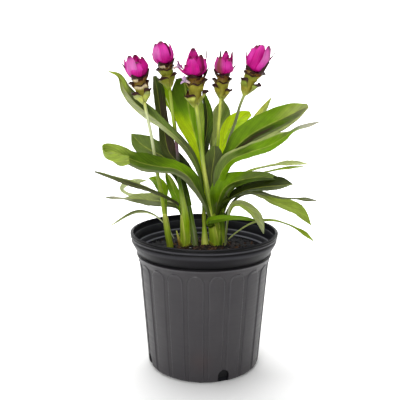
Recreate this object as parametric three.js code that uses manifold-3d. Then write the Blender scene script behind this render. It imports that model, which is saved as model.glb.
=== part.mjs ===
// Potted curcuma: a fluted ten inch nursery pot, its soil, and a clump of leafy shoots with five flower heads.
// Millimetres, +Z up, origin at the centre of the pot's base. The front of the plant faces -Y.
import * as THREE from 'three';
import Module from 'manifold-3d';

const wasm = await Module();
wasm.setup();

// Pot
const POT_HEIGHT = 239;
const LIP_RADIUS = 127;
const BASE_RADIUS = 90.5;
const FLUTES = 20;
const FLUTE_HALF_ANGLE = 5.9;
const FLUTE_EDGE_ANGLE = 0.8;
const FLUTE_RAISE = 1.3;
const FLUTE_SPRING_Z = 174;
const FLUTE_TOP_Z = 188.5;
const FLUTE_TOP_SHARE = 0.12;
const FLUTE_ARCH_HEIGHTS = [182, 186.5];
const FIRST_FLUTE_ANGLE = 11.2;
const ROUND_SEGMENTS = 32;
const BODY_FOOT_Z = 13;
const BODY_FOOT_RADIUS = 96.9;
const BODY_SLOPE = 0.0775;
// Radius, height and flute raise of the rounded foot, from the ground up.
const POT_FOOT = [[BASE_RADIUS, 0, 0], [94.4, 2.5, 0.5], [96.2, 7, FLUTE_RAISE]];
// Radius and height, from the foot of each profile up.
const COLLAR_PROFILE = [
  [BASE_RADIUS, 180], [108.6, 184], [112.8, 190.5], [116.5, 200.5], [113.9, 202.6], [123.4, 219.5], [126.4, 234],
  [LIP_RADIUS, 236.4], [126.2, 238.5], [125.0, POT_HEIGHT],
];
const CAVITY_PROFILE = [
  [88.5, 3], [94.2, 12], [106.4, 183], [110.4, 191], [113.6, 200], [112.2, 204], [120.8, 220],
  [124.2, POT_HEIGHT + 4],
];
const NOTCH_ANGLES = [20, 110, 200, 290];
const NOTCH_HALF_WIDTH = 9.5;
const NOTCH_SIDE_HEIGHT = 14.5;
const NOTCH_DEPTH = 6;
const NOTCH_OVERSHOOT = 10;
const NOTCH_ARCH_STEPS = 6;

// Soil
const SOIL_CLEARANCE = 0.5;
const SOIL_EDGE_Z = 200;
const SOIL_MIDDLE_Z = 206.5;
const SOIL_RINGS = [40, 88];
const SOIL_EDGE_RADIUS = 113.2;
const SOIL_MOUND_POWER = 0.6;
const SOIL_LUMP = 1.6;
const SOIL_SEED = 77;
const STEM_FOOT_Z = 184;
const FIT = 0.7;
const HOLE_LENGTH = 34;
const HOLE_SIDES = 8;
const HOLE_EASE = 1.09;
const LEAF_HOLE_WIDTHS = 2;

// Stems and leaves
const STEM_SIDES = 7;
const STEM_STEP = 42;
const LEAF_FOLD = 18;
const LEAF_WAVE = 1.2;
const LEAF_WAVES = 2;
const LEAF_STATIONS = 12;
const RIB_THICKNESS = 1.7;
const MARGIN_THICKNESS = 0.95;
const STALK_THICKNESS = 1.7;
const STALK_CHANNEL = 12;
const WIDE_SECTION = [-1, -0.52, 0, 0.52, 1];
const NARROW_SECTION = [-1, 0, 1];
const NARROW_LEAF = 10;

// Flower heads
const BRACT_THICKNESS = 1.2;
const COMA_THICKNESS = 1.1;
const SCALE_CUP = 0.35;
const HEAD_COLUMNS = [-1, 0, 1];

const COLORS = {
  pot: 0x4b494c, soil: 0x2e2019, leaf: 0x5e8a1e, bract: 0xa9a83c, coma: 0xe838b8, floret: 0xd8b8dc,
};

const rad = THREE.MathUtils.degToRad;
const vec = (a) => new THREE.Vector3(a[0], a[1], a[2]);

function random(seed) {
  let s = seed;
  return () => {
    s = (s * 16807) % 2147483647;
    return s / 2147483647;
  };
}

// A closed body from vertices and triangles.
function body(points, triangles) {
  return new wasm.Manifold(new wasm.Mesh({
    numProp: 3,
    vertProperties: new Float32Array(points.flatMap((p) => [p.x, p.y, p.z])),
    triVerts: new Uint32Array(triangles),
  }));
}

// Rings of equal length joined into a skin, with a fan over each end. The rings run anticlockwise seen from the last.
function skin(rings) {
  const n = rings[0].length;
  const points = rings.flat();
  const triangles = [];
  for (let i = 0; i + 1 < rings.length; i += 1) {
    for (let j = 0; j < n; j += 1) {
      const a = i * n + j;
      const b = i * n + ((j + 1) % n);
      triangles.push(a, b, b + n, a, b + n, a + n);
    }
  }
  const last = (rings.length - 1) * n;
  const centre = (ring) => ring.reduce((sum, p) => sum.add(p), new THREE.Vector3()).divideScalar(n);
  points.push(centre(rings[0]), centre(rings[rings.length - 1]));
  for (let j = 0; j < n; j += 1) {
    const k = (j + 1) % n;
    triangles.push(points.length - 2, k, j, points.length - 1, last + j, last + k);
  }
  return body(points, triangles);
}

// A flat strip with two faces: rows of upper and lower points, both split along the same diagonals.
function blade(rows) {
  const n = rows[0].upper.length;
  const points = rows.flatMap((row) => [...row.upper, ...row.lower]);
  const up = (i, j) => i * 2 * n + j;
  const low = (i, j) => i * 2 * n + n + j;
  const triangles = [];
  const quad = (a, b, c, d) => triangles.push(a, b, c, a, c, d);
  for (let i = 0; i + 1 < rows.length; i += 1) {
    for (let j = 0; j + 1 < n; j += 1) {
      quad(up(i, j), up(i, j + 1), up(i + 1, j + 1), up(i + 1, j));
      triangles.push(low(i, j), low(i + 1, j + 1), low(i, j + 1), low(i, j), low(i + 1, j), low(i + 1, j + 1));
    }
    quad(up(i, 0), up(i + 1, 0), low(i + 1, 0), low(i, 0));
    quad(up(i, n - 1), low(i, n - 1), low(i + 1, n - 1), up(i + 1, n - 1));
  }
  const end = rows.length - 1;
  for (let j = 0; j + 1 < n; j += 1) {
    quad(up(0, j), low(0, j), low(0, j + 1), up(0, j + 1));
    quad(up(end, j), up(end, j + 1), low(end, j + 1), low(end, j));
  }
  return body(points, triangles);
}

// A value read from a list that is spread evenly over 0 to 1, eased between its entries.
function between(list, t) {
  const at = t * (list.length - 1);
  const k = Math.min(Math.floor(at), list.length - 2);
  const ease = (1 - Math.cos(Math.PI * (at - k))) / 2;
  return list[k] + (list[k + 1] - list[k]) * ease;
}

// A round stem along a curve. The radii are spread evenly along it.
function stem(path, radii) {
  const curve = new THREE.CatmullRomCurve3(path.map(vec));
  const steps = Math.max(2, Math.round(curve.getLength() / STEM_STEP));
  const rings = [];
  for (let i = 0; i <= steps; i += 1) {
    const t = i / steps;
    const c = curve.getPointAt(t);
    const tangent = curve.getTangentAt(t);
    const side = new THREE.Vector3(0, -1, 0).cross(tangent).normalize();
    const front = tangent.clone().cross(side);
    const r = between(radii, t);
    const ring = [];
    for (let j = 0; j < STEM_SIDES; j += 1) {
      const a = (2 * Math.PI * (j + 0.5)) / STEM_SIDES;
      ring.push(c.clone().addScaledVector(side, r * Math.cos(a)).addScaledVector(front, r * Math.sin(a)));
    }
    rings.push(ring);
  }
  return skin(rings);
}

// A leaf: a stalk that opens into a folded, waved blade along its midrib.
// `face` says where the upper side looks at the base, the middle and the tip.
function leaf({ mid, face, widths, fold = LEAF_FOLD, stations = LEAF_STATIONS }) {
  const curve = new THREE.CatmullRomCurve3(mid.map(vec));
  const looks = face.map(vec);
  const columns = Math.max(...widths) > NARROW_LEAF ? WIDE_SECTION : NARROW_SECTION;
  const rows = [];
  for (let i = 0; i < stations; i += 1) {
    const t = i / (stations - 1);
    const c = curve.getPointAt(t);
    const along = curve.getTangentAt(t);
    const at = t * (looks.length - 1);
    const k = Math.min(Math.floor(at), looks.length - 2);
    const normal = looks[k].clone().lerp(looks[k + 1], at - k);
    normal.addScaledVector(along, -normal.dot(along)).normalize();
    const across = along.clone().cross(normal);
    const w = between(widths, t);
    const open = Math.min(1, Math.max(0, (w - widths[0]) / (2 * widths[0])) + t * t);
    const rib = RIB_THICKNESS + Math.max(0, widths[0] * STALK_THICKNESS - RIB_THICKNESS) * (1 - open);
    const angle = rad(fold + STALK_CHANNEL * (1 - open));
    const row = { upper: [], lower: [] };
    for (const u of columns) {
      const thick = rib + (MARGIN_THICKNESS - rib) * Math.abs(u);
      const ripple = LEAF_WAVE * open * u * Math.abs(u) * Math.sin(2 * Math.PI * LEAF_WAVES * t);
      const lift = w * Math.abs(u) * Math.sin(angle) + ripple;
      const p = c.clone().addScaledVector(across, w * u * Math.cos(angle)).addScaledVector(normal, lift);
      row.upper.push(p.clone().addScaledVector(normal, thick / 2));
      row.lower.push(p.clone().addScaledVector(normal, -thick / 2));
    }
    rows.push(row);
  }
  return blade(rows);
}

// A bract or petal round a head's axis. The profile is radius and height along its middle; the spans are half
// widths in mm.
function scale(axis, turn, profile, spans, thickness) {
  const radial = (a) => axis.side.clone().multiplyScalar(Math.cos(a)).addScaledVector(axis.front, Math.sin(a));
  const out = radial(turn);
  const across = radial(turn + Math.PI / 2);
  const rows = profile.map(([r, h], i) => {
    const before = profile[Math.max(0, i - 1)];
    const after = profile[Math.min(profile.length - 1, i + 1)];
    const slope = Math.atan2(after[1] - before[1], after[0] - before[0]);
    const normal = out.clone().multiplyScalar(-Math.sin(slope)).addScaledVector(axis.up, Math.cos(slope));
    const row = { upper: [], lower: [] };
    for (const u of HEAD_COLUMNS) {
      const p = axis.foot.clone().addScaledVector(axis.up, h).addScaledVector(out, r)
        .addScaledVector(across, -spans[i] * u).addScaledVector(normal, SCALE_CUP * spans[i] * Math.abs(u));
      row.upper.push(p.clone().addScaledVector(normal, thickness / 2));
      row.lower.push(p.clone().addScaledVector(normal, -thickness / 2));
    }
    return row;
  });
  return blade(rows);
}

// The solid middle of a head: flat-sided rings of the profile's radius at its height.
function core(axis, profile, sides) {
  return skin(profile.map(([r, h]) => {
    const ring = [];
    for (let j = 0; j < sides; j += 1) {
      const a = (2 * Math.PI * (j + 0.5)) / sides;
      ring.push(axis.foot.clone().addScaledVector(axis.up, h).addScaledVector(axis.side, r * Math.cos(a))
        .addScaledVector(axis.front, r * Math.sin(a)));
    }
    return ring;
  }));
}

const join = (solids) => solids.reduce((sum, s) => sum.add(s));

// The pot: a fluted body, a stepped collar with a rolled lip, a cavity and four drain notches at the foot.
function fluteWidth(z) {
  if (z <= FLUTE_SPRING_Z) return FLUTE_HALF_ANGLE;
  const rise = (z - FLUTE_SPRING_Z) / (FLUTE_TOP_Z - FLUTE_SPRING_Z);
  return FLUTE_HALF_ANGLE * Math.max(FLUTE_TOP_SHARE, Math.sqrt(1 - rise * rise));
}

function potRing(z, radius, raise) {
  const w = fluteWidth(z);
  const edge = w + FLUTE_EDGE_ANGLE;
  const ring = [];
  for (let k = 0; k < FLUTES; k += 1) {
    const middle = FIRST_FLUTE_ANGLE + (360 / FLUTES) * k - 90;
    for (const [offset, lift] of [[-edge, 0], [-w, raise], [w, raise], [edge, 0]]) {
      const a = rad(middle + offset);
      const r = radius + lift;
      ring.push(new THREE.Vector3(r * Math.cos(a), r * Math.sin(a), z));
    }
  }
  return ring;
}

function lathe(profile) {
  const rings = profile.map(([r, z]) => {
    const ring = [];
    for (let j = 0; j < ROUND_SEGMENTS; j += 1) {
      const a = (2 * Math.PI * j) / ROUND_SEGMENTS;
      ring.push(new THREE.Vector3(r * Math.cos(a), r * Math.sin(a), z));
    }
    return ring;
  });
  return skin(rings);
}

function notch(angle) {
  const outline = [[-NOTCH_HALF_WIDTH, -NOTCH_OVERSHOOT], [NOTCH_HALF_WIDTH, -NOTCH_OVERSHOOT]];
  for (let j = 0; j <= NOTCH_ARCH_STEPS; j += 1) {
    const a = (Math.PI * j) / NOTCH_ARCH_STEPS;
    outline.push([NOTCH_HALF_WIDTH * Math.cos(a), NOTCH_SIDE_HEIGHT + NOTCH_HALF_WIDTH * Math.sin(a)]);
  }
  const a = rad(angle - 90);
  const out = new THREE.Vector3(Math.cos(a), Math.sin(a), 0);
  const across = new THREE.Vector3(-Math.sin(a), Math.cos(a), 0);
  const ring = (r) => outline.map(([x, z]) => out.clone().multiplyScalar(r).addScaledVector(across, x)
    .add(new THREE.Vector3(0, 0, z)));
  return skin([ring(BODY_FOOT_RADIUS - NOTCH_DEPTH), ring(BODY_FOOT_RADIUS + NOTCH_OVERSHOOT)]);
}

const bodyRadius = (z) => BODY_FOOT_RADIUS + (z - BODY_FOOT_Z) * BODY_SLOPE;
const potBody = skin([
  ...POT_FOOT.map(([r, z, raise]) => potRing(z, r, raise)),
  ...[FLUTE_SPRING_Z, ...FLUTE_ARCH_HEIGHTS].map((z) => potRing(z, bodyRadius(z), FLUTE_RAISE)),
  potRing(FLUTE_TOP_Z, bodyRadius(FLUTE_TOP_Z), 0),
]);
const potWall = potBody.add(lathe(COLLAR_PROFILE)).subtract(lathe(CAVITY_PROFILE));
const pot = NOTCH_ANGLES.reduce((solid, a) => solid.subtract(notch(a)), potWall);

// Shoots: each has a stem, its leaves and often a flower stalk, grown as one. A leaf's midrib runs from its shoot to
// its tip; its widths are half widths, spread evenly along it.
const SHOOTS = {
  shoot_left: {
    stems: [{ path: [[-57, 8, STEM_FOOT_Z], [-59, 8, 205], [-63, 7, 229], [-68, 4, 266], [-72, 0, 295], [-78, -6, 330],
      [-83, -13, 369], [-89, -20, 410], [-94, -26, 438], [-98, -30, 460]],
    radii: [5.4, 5, 4.5, 3.9, 3.3, 2.8, 2.6, 2.6, 2.6] }],
    leaves: [
      { mid: [[-66, 6, 252], [-69, 22, 283], [-76, 36, 306], [-87, 44, 317], [-99, 48, 321]],
        face: [[0.5, -0.8, 0.2], [0.3, -0.7, 0.6], [0.2, -0.7, 0.6]],
        widths: [2.6, 2.6, 2.8, 3.2, 4.5, 7, 10, 11, 10.5, 7.5, 0.8], stations: 9 },
    ],
  },
  shoot_left_thick: {
    stems: [{ path: [[-31, 8, STEM_FOOT_Z], [-32, 9, 205], [-33, 10, 236], [-34, 11, 264], [-39, 13, 298],
        [-44, 14, 327],
      [-47, 15, 377], [-54, 14, 433], [-59, 12, 480]],
    radii: [8.6, 8.4, 7.6, 5.2, 3.6, 3, 2.8, 2.7, 2.7, 2.7] }],
    leaves: [
      { mid: [[-36, 10, 255], [-46, 6, 283], [-60, -4, 294], [-91, -20, 310], [-130, -38, 327], [-161, -50, 341],
        [-177, -56, 349]], face: [[-0.6, -0.2, 0.8], [0.1, -0.45, 0.9], [0.2, -0.5, 0.8]],
        widths: [3, 3.5, 4, 5, 6, 7, 7.5, 7.5, 7, 5.5, 1.2], fold: 24, stations: 10 },
      { mid: [[-35, 15, 252], [-43, 28, 268], [-58, 42, 273], [-83, 56, 276], [-113, 68, 278], [-151, 78, 277],
        [-183, 84, 278]], face: [[-0.6, -0.6, 0.5], [0, -0.75, 0.65], [0, -0.9, 0.3]],
        widths: [3, 3, 4.5, 9, 14, 14, 11, 7, 2.2, 3.6, 0.8], stations: 11 },
      { mid: [[-36, 12, 256], [-45, 20, 284], [-53, 25, 303], [-61, 28, 320], [-68, 30, 334]],
        face: [[-0.3, -0.9, 0.2], [-0.2, -0.9, 0.3], [0, -0.9, 0.4]], widths: [3, 3, 4, 6, 8, 9, 9, 8, 7, 5, 0.6],
        stations: 8 },
      { mid: [[-34, 15, 252], [-50, 40, 276], [-80, 60, 280], [-114, 74, 283], [-140, 80, 285], [-152, 82, 294],
        [-144, 80, 304], [-125, 77, 309], [-105, 75, 312]], face: [[0, -0.6, 0.8], [0, -0.8, 0.6], [0.3, -0.9, 0.2]],
        widths: [2.4, 2.4, 3, 5, 6, 5, 3, 3, 5, 5, 0.6], fold: 8, stations: 11 },
      { mid: [[-35, 14, 252], [-41, 18, 312], [-48, 19, 372], [-52, 33, 421], [-64, 46, 453], [-76, 51, 475],
        [-88, 53, 494]], face: [[0.3, -0.9, 0], [0.4, -0.9, 0], [0.5, -0.8, 0.1]],
        widths: [2, 2, 2, 2, 2, 2, 2, 2, 2, 2.4, 3.5, 12, 10.5, 0.8], fold: 10, stations: 10 },
    ],
  },
  shoot_grey: {
    stems: [{ path: [[-13, 2, STEM_FOOT_Z], [-15, 4, 206], [-18, 9, 233], [-22, 18, 252], [-27, 27, 275],
        [-32, 31, 291]],
      radii: [5, 4.8, 4.4, 3.6] }],
    leaves: [
      { mid: [[-27, 27, 275], [-38, 35, 306], [-50, 40, 332], [-71, 43, 358], [-96, 47, 371], [-113, 49, 382],
        [-129, 51, 399]], face: [[0.5, -0.8, 0.3], [0.2, -0.8, 0.5], [0, -0.8, 0.6]],
        widths: [3, 3.5, 5, 8, 12, 16, 19, 21, 22, 16, 0.8], stations: 10 },
    ],
  },
  shoot_slim: {
    stems: [{ path: [[2, 7, STEM_FOOT_Z], [2, 8, 206], [1, 10, 233], [0, 13, 250], [-1, 16, 268]],
      radii: [6.4, 5.6, 3.4, 3.2] }],
    leaves: [
      { mid: [[0, 13, 250], [-1, 18, 294], [-5, 17, 328], [-17, 12, 360], [-38, 6, 389], [-65, 4, 414], [-92, 4, 435],
        [-115, 4, 454], [-131, 0, 475], [-141, -8, 499], [-157, -14, 507]],
        face: [[-0.6, -0.8, 0.1], [-0.3, -0.7, 0.6], [0.3, -0.8, 0.4]],
        widths: [3.5, 3.5, 4, 6, 7.5, 8, 9, 13, 13, 8, 0.6], fold: 26, stations: 13 },
      { mid: [[0, 14, 254], [-3, 23, 291], [-18, 28, 320], [-39, 33, 345], [-62, 34, 369], [-70, 37, 402],
        [-77, 37, 440], [-82, 38, 475], [-87, 38, 499]], face: [[0.3, -0.9, 0.3], [0.3, -0.9, 0.4], [0.6, -0.8, 0.1]],
        widths: [3.5, 3.8, 5, 9.5, 13, 15, 14.5, 11, 12, 13.5, 4], fold: 26, stations: 11 },
    ],
  },
  shoot_front: {
    stems: [{ path: [[22, 17, STEM_FOOT_Z], [21, 18, 207], [18, 17, 234], [14, 15, 264], [6, 11, 305], [-1, 8, 346],
      [-9, 2, 414], [-15, -4, 456]], radii: [10.4, 10, 8.4, 5.4, 3.8, 3.5, 3.4, 3.3, 3.4] }],
    leaves: [
      { mid: [[12, 13, 256], [2, 1, 283], [-12, -10, 311], [-28, -20, 336], [-49, -26, 349], [-73, -36, 354],
        [-97, -44, 360], [-117, -51, 368], [-135, -57, 378], [-150, -61, 382], [-159, -67, 380], [-153, -74, 373],
        [-134, -77, 369], [-118, -77, 371]],
        face: [[-0.6, -0.6, 0.6], [-0.2, -0.7, 0.7], [0, -0.7, 0.7], [0, -0.7, 0.7], [0, -0.75, 0.65],
        [0, -0.8, 0.6], [1, -0.1, 0.3], [0, 1, 0.2]],
        widths: [4, 5, 8.5, 14, 16, 17.5, 17, 13, 14, 14, 7], stations: 16 },
      { mid: [[13, 17, 256], [5, 30, 289], [-1, 38, 320], [-6, 44, 351], [-15, 50, 389], [-26, 54, 430],
        [-31, 54, 461], [-38, 50, 497]], face: [[0, -1, 0.1], [-0.1, -1, 0.2], [-0.1, -0.9, 0.4]],
        widths: [4, 4, 4.5, 6, 8, 12, 19, 26, 28, 27, 13], stations: 11 },
      { mid: [[17, 15, 258], [21, 6, 299], [23, 1, 323], [30, -4, 343], [44, -10, 361], [74, -18, 376], [106, -24, 388],
        [130, -28, 403], [150, -30, 417], [169, -32, 423], [185, -34, 429]],
        face: [[0.6, -0.8, 0.2], [-0.1, -0.6, 0.8], [-0.2, -0.7, 0.6]],
        widths: [4.5, 4.9, 6.3, 9.8, 13, 15.5, 16, 19, 18, 13, 3, 3.6, 0.8], stations: 13 },
      { mid: [[16, 16, 262], [14, 17, 301], [12, 16, 329], [15, 15, 354], [17, 15, 371], [17, 17, 382]],
        face: [[0, -1, 0], [0, -1, 0.2], [0, -1, 0.3]], widths: [3, 3, 3, 4, 4.5, 6, 9, 14, 17, 14, 6], stations: 9 },
      { mid: [[16, 14, 255], [25, 6, 292], [32, -2, 310], [46, -11, 323], [69, -22, 332], [95, -32, 337],
        [125, -42, 336]], face: [[0.5, -0.8, 0.3], [0.1, -0.75, 0.65], [0.1, -0.5, 0.9]],
        widths: [4, 8, 15, 20, 21, 19, 16, 13, 10.5, 7, 0.8], stations: 10 },
      { mid: [[17, 13, 250], [29, 0, 283], [47, -14, 300], [69, -28, 314], [94, -42, 322], [119, -54, 327],
        [141, -64, 332]], face: [[0.5, -0.7, 0.4], [0.1, -0.5, 0.9], [0.1, -0.5, 0.9]],
        widths: [3.5, 3.5, 4.5, 7, 12, 17, 20, 21, 20, 15, 0.8], stations: 10 },
      { mid: [[16, 14, 240], [10, -2, 254], [20, -10, 258], [40, -18, 263], [60, -24, 265], [85, -30, 264]],
        face: [[-0.3, -0.9, 0.3], [0, -0.6, 0.8], [0, -0.5, 0.9]],
        widths: [5, 6, 7.5, 8, 8, 7.5, 7, 6, 4.5, 3, 0.6], stations: 9 },
    ],
  },
  shoot_right: {
    stems: [{ path: [[33, 29, STEM_FOOT_Z], [33, 30, 206], [32, 31, 240], [29, 31, 276], [31, 30, 321], [34, 29, 357],
      [42, 27, 393], [52, 24, 423], [59, 20, 450],
        [66, 17, 469]], radii: [5.2, 4.8, 4.6, 4, 3.2, 2.6, 2.4, 2.4, 2.6] }],
    leaves: [
      { mid: [[31, 30, 262], [30, 29, 322], [36, 26, 354], [52, 20, 378], [77, 12, 402], [105, 4, 419], [134, -4, 434],
        [154, -9, 445], [169, -13, 453]], face: [[0.3, -0.9, 0.1], [-0.35, -0.9, 0.3], [-0.3, -0.9, 0.35]],
        widths: [4, 4, 4, 5.5, 12, 20.5, 23, 24, 22, 17, 4], stations: 12 },
      { mid: [[31, 31, 262], [49, 48, 311], [78, 62, 330], [111, 74, 338], [152, 84, 342], [191, 92, 341]],
        face: [[0, -0.5, 0.8], [0, -0.3, 1], [0, -0.3, 1]], widths: [2, 2, 2, 2.5, 3.5, 4, 4.5, 6, 8.5, 6, 0.6],
        stations: 10 },
      { mid: [[31, 31, 258], [56, 46, 308], [92, 58, 325], [135, 70, 334], [180, 82, 338]],
        face: [[0, -0.5, 0.8], [0, -0.3, 1], [0, -0.3, 1]], widths: [2, 2, 2, 2, 3, 4, 4, 4, 3.5, 2.5, 0.6],
        stations: 9 },
      { mid: [[31, 31, 250], [45, 38, 286], [72, 44, 296], [99, 48, 294], [136, 52, 285], [168, 56, 283],
        [203, 60, 279]], face: [[0, -0.6, 0.7], [0, -0.3, 1], [0, -0.9, 0.4]],
        widths: [2, 3, 6, 8.5, 8.5, 6, 4.5, 3, 1.4, 3.6, 0.8], stations: 11 },
      { mid: [[32, 32, 246], [57, 46, 284], [82, 56, 293], [104, 62, 287], [123, 66, 277], [147, 70, 267],
        [170, 74, 257], [198, 80, 229]], face: [[0, -0.6, 0.8], [0, -0.6, 0.8], [0.3, -0.6, 0.8]],
        widths: [3, 3, 3, 4, 6.5, 10, 14, 16.5, 15.5, 10.5, 0.8], stations: 11 },
    ],
  },
  shoot_back: {
    stems: [{ path: [[22, 46, STEM_FOOT_Z], [22, 46, 209], [23, 47, 242], [23, 48, 282], [21, 47, 336], [23, 44, 384],
      [24, 42, 411], [27, 38, 463]], radii: [5.6, 5.2, 4.8, 3.8, 3, 2.7, 2.6, 2.6] }],
    leaves: [
      { mid: [[22, 47, 255], [10, 48, 300], [3, 52, 344], [0, 57, 379], [4, 62, 409], [4, 64, 437], [-5, 64, 478]],
        face: [[-0.3, -0.9, 0], [0.3, -0.9, 0.1], [0.5, -0.85, 0.2]],
        widths: [3, 3, 3, 3, 4, 6, 8.5, 10, 10, 7, 0.6], stations: 9 },
      { mid: [[23, 48, 262], [15, 72, 314], [14, 95, 356], [21, 112, 391], [30, 122, 424], [33, 126, 457]],
        face: [[0, -0.8, 0.5], [0, -0.9, 0.3], [0, -1, 0.2]],
        widths: [3, 3, 3, 3, 3.5, 5, 9, 16, 20, 16, 0.8], stations: 10 },
      { mid: [[24, 48, 258], [25, 66, 315], [28, 78, 350], [33, 88, 376], [42, 97, 398], [57, 103, 416],
        [70, 106, 425], [84, 108, 431]], face: [[0, -0.8, 0.5], [-0.3, -0.8, 0.4], [-0.3, -0.9, 0.3]],
        widths: [3, 3, 3, 3.5, 4, 5.5, 9, 13, 16, 14, 5], stations: 10 },
      { mid: [[24, 49, 262], [39, 74, 323], [65, 98, 375], [87, 112, 406], [104, 120, 430], [123, 124, 460]],
        face: [[0, -0.7, 0.6], [-0.4, -0.8, 0.4], [-0.4, -0.9, 0.3]],
        widths: [2, 2, 2, 2.5, 3, 4, 5, 7, 9, 6, 0.6], stations: 10 },
    ],
  },
  leaf_drooping_right: {
    stems: [],
    leaves: [
      { mid: [[36, 12, STEM_FOOT_Z], [37, 12, 207], [42, 12, 261], [49, 11, 280], [61, 9, 283], [75, 6, 277],
        [87, 2, 267], [95, -2, 254], [102, -8, 235]], face: [[0, -0.9, 0.2], [0, -0.7, 0.7], [0.5, -0.7, 0.5]],
        widths: [2.2, 2.2, 2.2, 2.2, 2.4, 4, 7.5, 9.5, 9, 6.5, 0.8], stations: 11 },
    ],
  },
  leaf_low_right: {
    stems: [],
    leaves: [
      { mid: [[35, 50, STEM_FOOT_Z], [42, 50, 205], [65, 50, 226], [91, 44, 242], [124, 36, 247], [160, 38, 235],
        [197, 42, 209]], face: [[0, -0.8, 0.5], [0, -0.5, 0.9], [0.3, -0.5, 0.8]],
        widths: [1.6, 1.4, 1.4, 1.6, 2.2, 4, 4, 2.6, 2.4, 5, 0.8], stations: 11 },
    ],
  },
  leaf_arching_left: {
    stems: [],
    leaves: [
      { mid: [[-48, 66, STEM_FOOT_Z], [-56, 70, 205], [-73, 76, 230], [-98, 80, 248], [-126, 76, 252], [-169, 60, 231]],
        face: [[0, -0.8, 0.5], [0, -0.6, 0.8], [-0.3, -0.8, 0.5]],
        widths: [1.6, 1.4, 1.4, 1.6, 2, 2.4, 2.8, 3.4, 3.6, 2.8, 0.6], stations: 10 },
    ],
  },
  sprout: {
    stems: [{ path: [[-40, 20, STEM_FOOT_Z], [-42, 22, 205], [-45, 25, 216], [-49, 27, 230]], radii: [3.6, 3.2, 1] }],
    leaves: [],
  },
};

// Flower heads: the foot, the way each leans and its size against the common one. Round each head, bracts and petals
// stand at an angle in degrees from the viewer's left, with 90 in front. A bract's row is angle, radius and height of
// its tip; a petal's is angle, radius and height of its middle, radius and height of its tip, and width.
const HEADS = {
  left: {
    foot: [-98, -30, 460], up: [-0.2, -0.1, 1], size: 0.96,
    bracts: [[40, 21, 16.6], [150, 20, 19], [275, 20, 18], [350, 20, 33], [215, 19, 31], [95, 17, 28]],
    calyx: [[60, 18.2, 48], [165, 21.5, 52], [285, 17.5, 46]],
    petals: [[60, 19, 57, 14, 78.5, 1.15], [265, 15, 58, 9, 77, 1], [100, 19, 54, 13, 66, 1.25],
      [155, 20, 56, 16, 71, 1], [10, 19.5, 60, 17, 74, 0.9],
      [25, 17, 52, 24, 69.5, 0.3]],
  },
  left_middle: {
    foot: [-59, 12, 480], up: [-0.19, -0.05, 1], size: 0.97,
    bracts: [[50, 21, 19], [165, 18, 22], [285, 19, 19], [5, 18, 34], [100, 16, 31], [195, 16, 36]],
    calyx: [[60, 18, 46], [175, 18.8, 49], [290, 17, 46]],
    petals: [[40, 18.5, 58, 12.5, 77, 1], [90, 18, 57, 8, 79.5, 1.1], [135, 14, 57, 9, 76, 0.8],
      [175, 18, 56, 15, 71, 1], [265, 16, 57, 10, 77, 1], [0, 18, 52, 18.5, 62, 0.7]],
  },
  middle: {
    foot: [-15, -4, 456], up: [-0.05, -0.1, 1], size: 1.08,
    bracts: [[45, 22, 13.5], [170, 21, 17.5], [290, 20, 16], [355, 18.5, 34.5], [105, 18, 29.5], [195, 21, 34]],
    calyx: [[75, 17.5, 45], [180, 22, 52], [290, 16.5, 46]],
    petals: [[275, 12, 60, 4, 82, 0.85], [140, 17, 56, 15, 73, 1], [20, 18, 47, 25.5, 55, 0.75],
      [80, 19, 53, 14, 68, 1.15], [180, 19.5, 54, 17, 66, 0.9],
      [185, 18.5, 62, 20.5, 79, 0.22], [0, 17, 52, 28, 67.6, 0.2]],
  },
  right_middle: {
    foot: [27, 38, 463], up: [0.09, -0.06, 1], size: 0.97,
    bracts: [[160, 20.5, 15.5], [20, 19, 21], [280, 19, 18], [350, 19.5, 31], [200, 18.5, 34], [95, 17, 27]],
    calyx: [[15, 18.5, 49], [130, 16.5, 44], [250, 16.5, 46]],
    petals: [[58, 18, 55, 15, 71, 1.2], [260, 14, 60, 9, 81, 0.8], [125, 18, 53, 13, 68, 1.1],
      [215, 17, 58, 15.5, 80, 0.55], [175, 16, 50, 21, 59.5, 0.5], [345, 16, 57, 14, 70, 0.9],
      [310, 13, 62, 13, 80, 0.2]],
  },
  right: {
    foot: [66, 17, 469], up: [0.32, -0.06, 1], size: 1.04,
    bracts: [[165, 22, 22], [30, 17.5, 24.5], [275, 19, 20], [185, 22.5, 41], [350, 14, 36], [95, 15, 33]],
    calyx: [[40, 16.5, 46], [150, 23.5, 62], [270, 16, 46]],
    petals: [[55, 15, 58, 11, 80, 1.1], [98, 17, 58, 14, 83, 1], [142, 21, 62, 15.5, 85, 1.1],
      [270, 16, 58, 12, 82, 1], [345, 14.5, 55, 13, 74, 0.8], [195, 21, 62, 17, 82, 0.9],
      [10, 16, 54, 20.5, 67, 0.25], [180, 20, 62, 25, 78, 0.25]],
  },
};

// Bracts: share of the tip's radius and depth under the tip, from the foot up.
const BRACT_FORM = [[0.15, 16], [0.5, 9.5], [0.74, 3], [1, 0]];
const BRACT_LOWEST = 1;
const BRACT_SPANS = [1.8, 9.5, 8.5, 3.5];
// Calyx: the narrow dark bracts that hold the petals.
const CALYX_FOOT = [4, 29];
const CALYX_BEND_SHARE = 0.7;
const CALYX_BEND_HEIGHT = 38;
const CALYX_SPANS = [1.8, 7, 1.4];
const PETAL_FOOT = [2, 39.4];
const PETAL_SHOULDER_SHARE = 0.68;
const PETAL_SHOULDER_HEIGHT = 43;
const PETAL_SPANS = [1.2, 4.6, 8.8, 2];
const THIN_PETAL = 0.5;
const THIN_SPANS = [1.2, 9.6, 1];
const CORE_SIDES = 6;
const BRACT_CORE = [[3, 0.6], [8.5, 8], [7.6, 26], [4, 36]];
const COMA_CORE = [[4, 36.4], [5, 41], [1.5, 54]];

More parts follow.
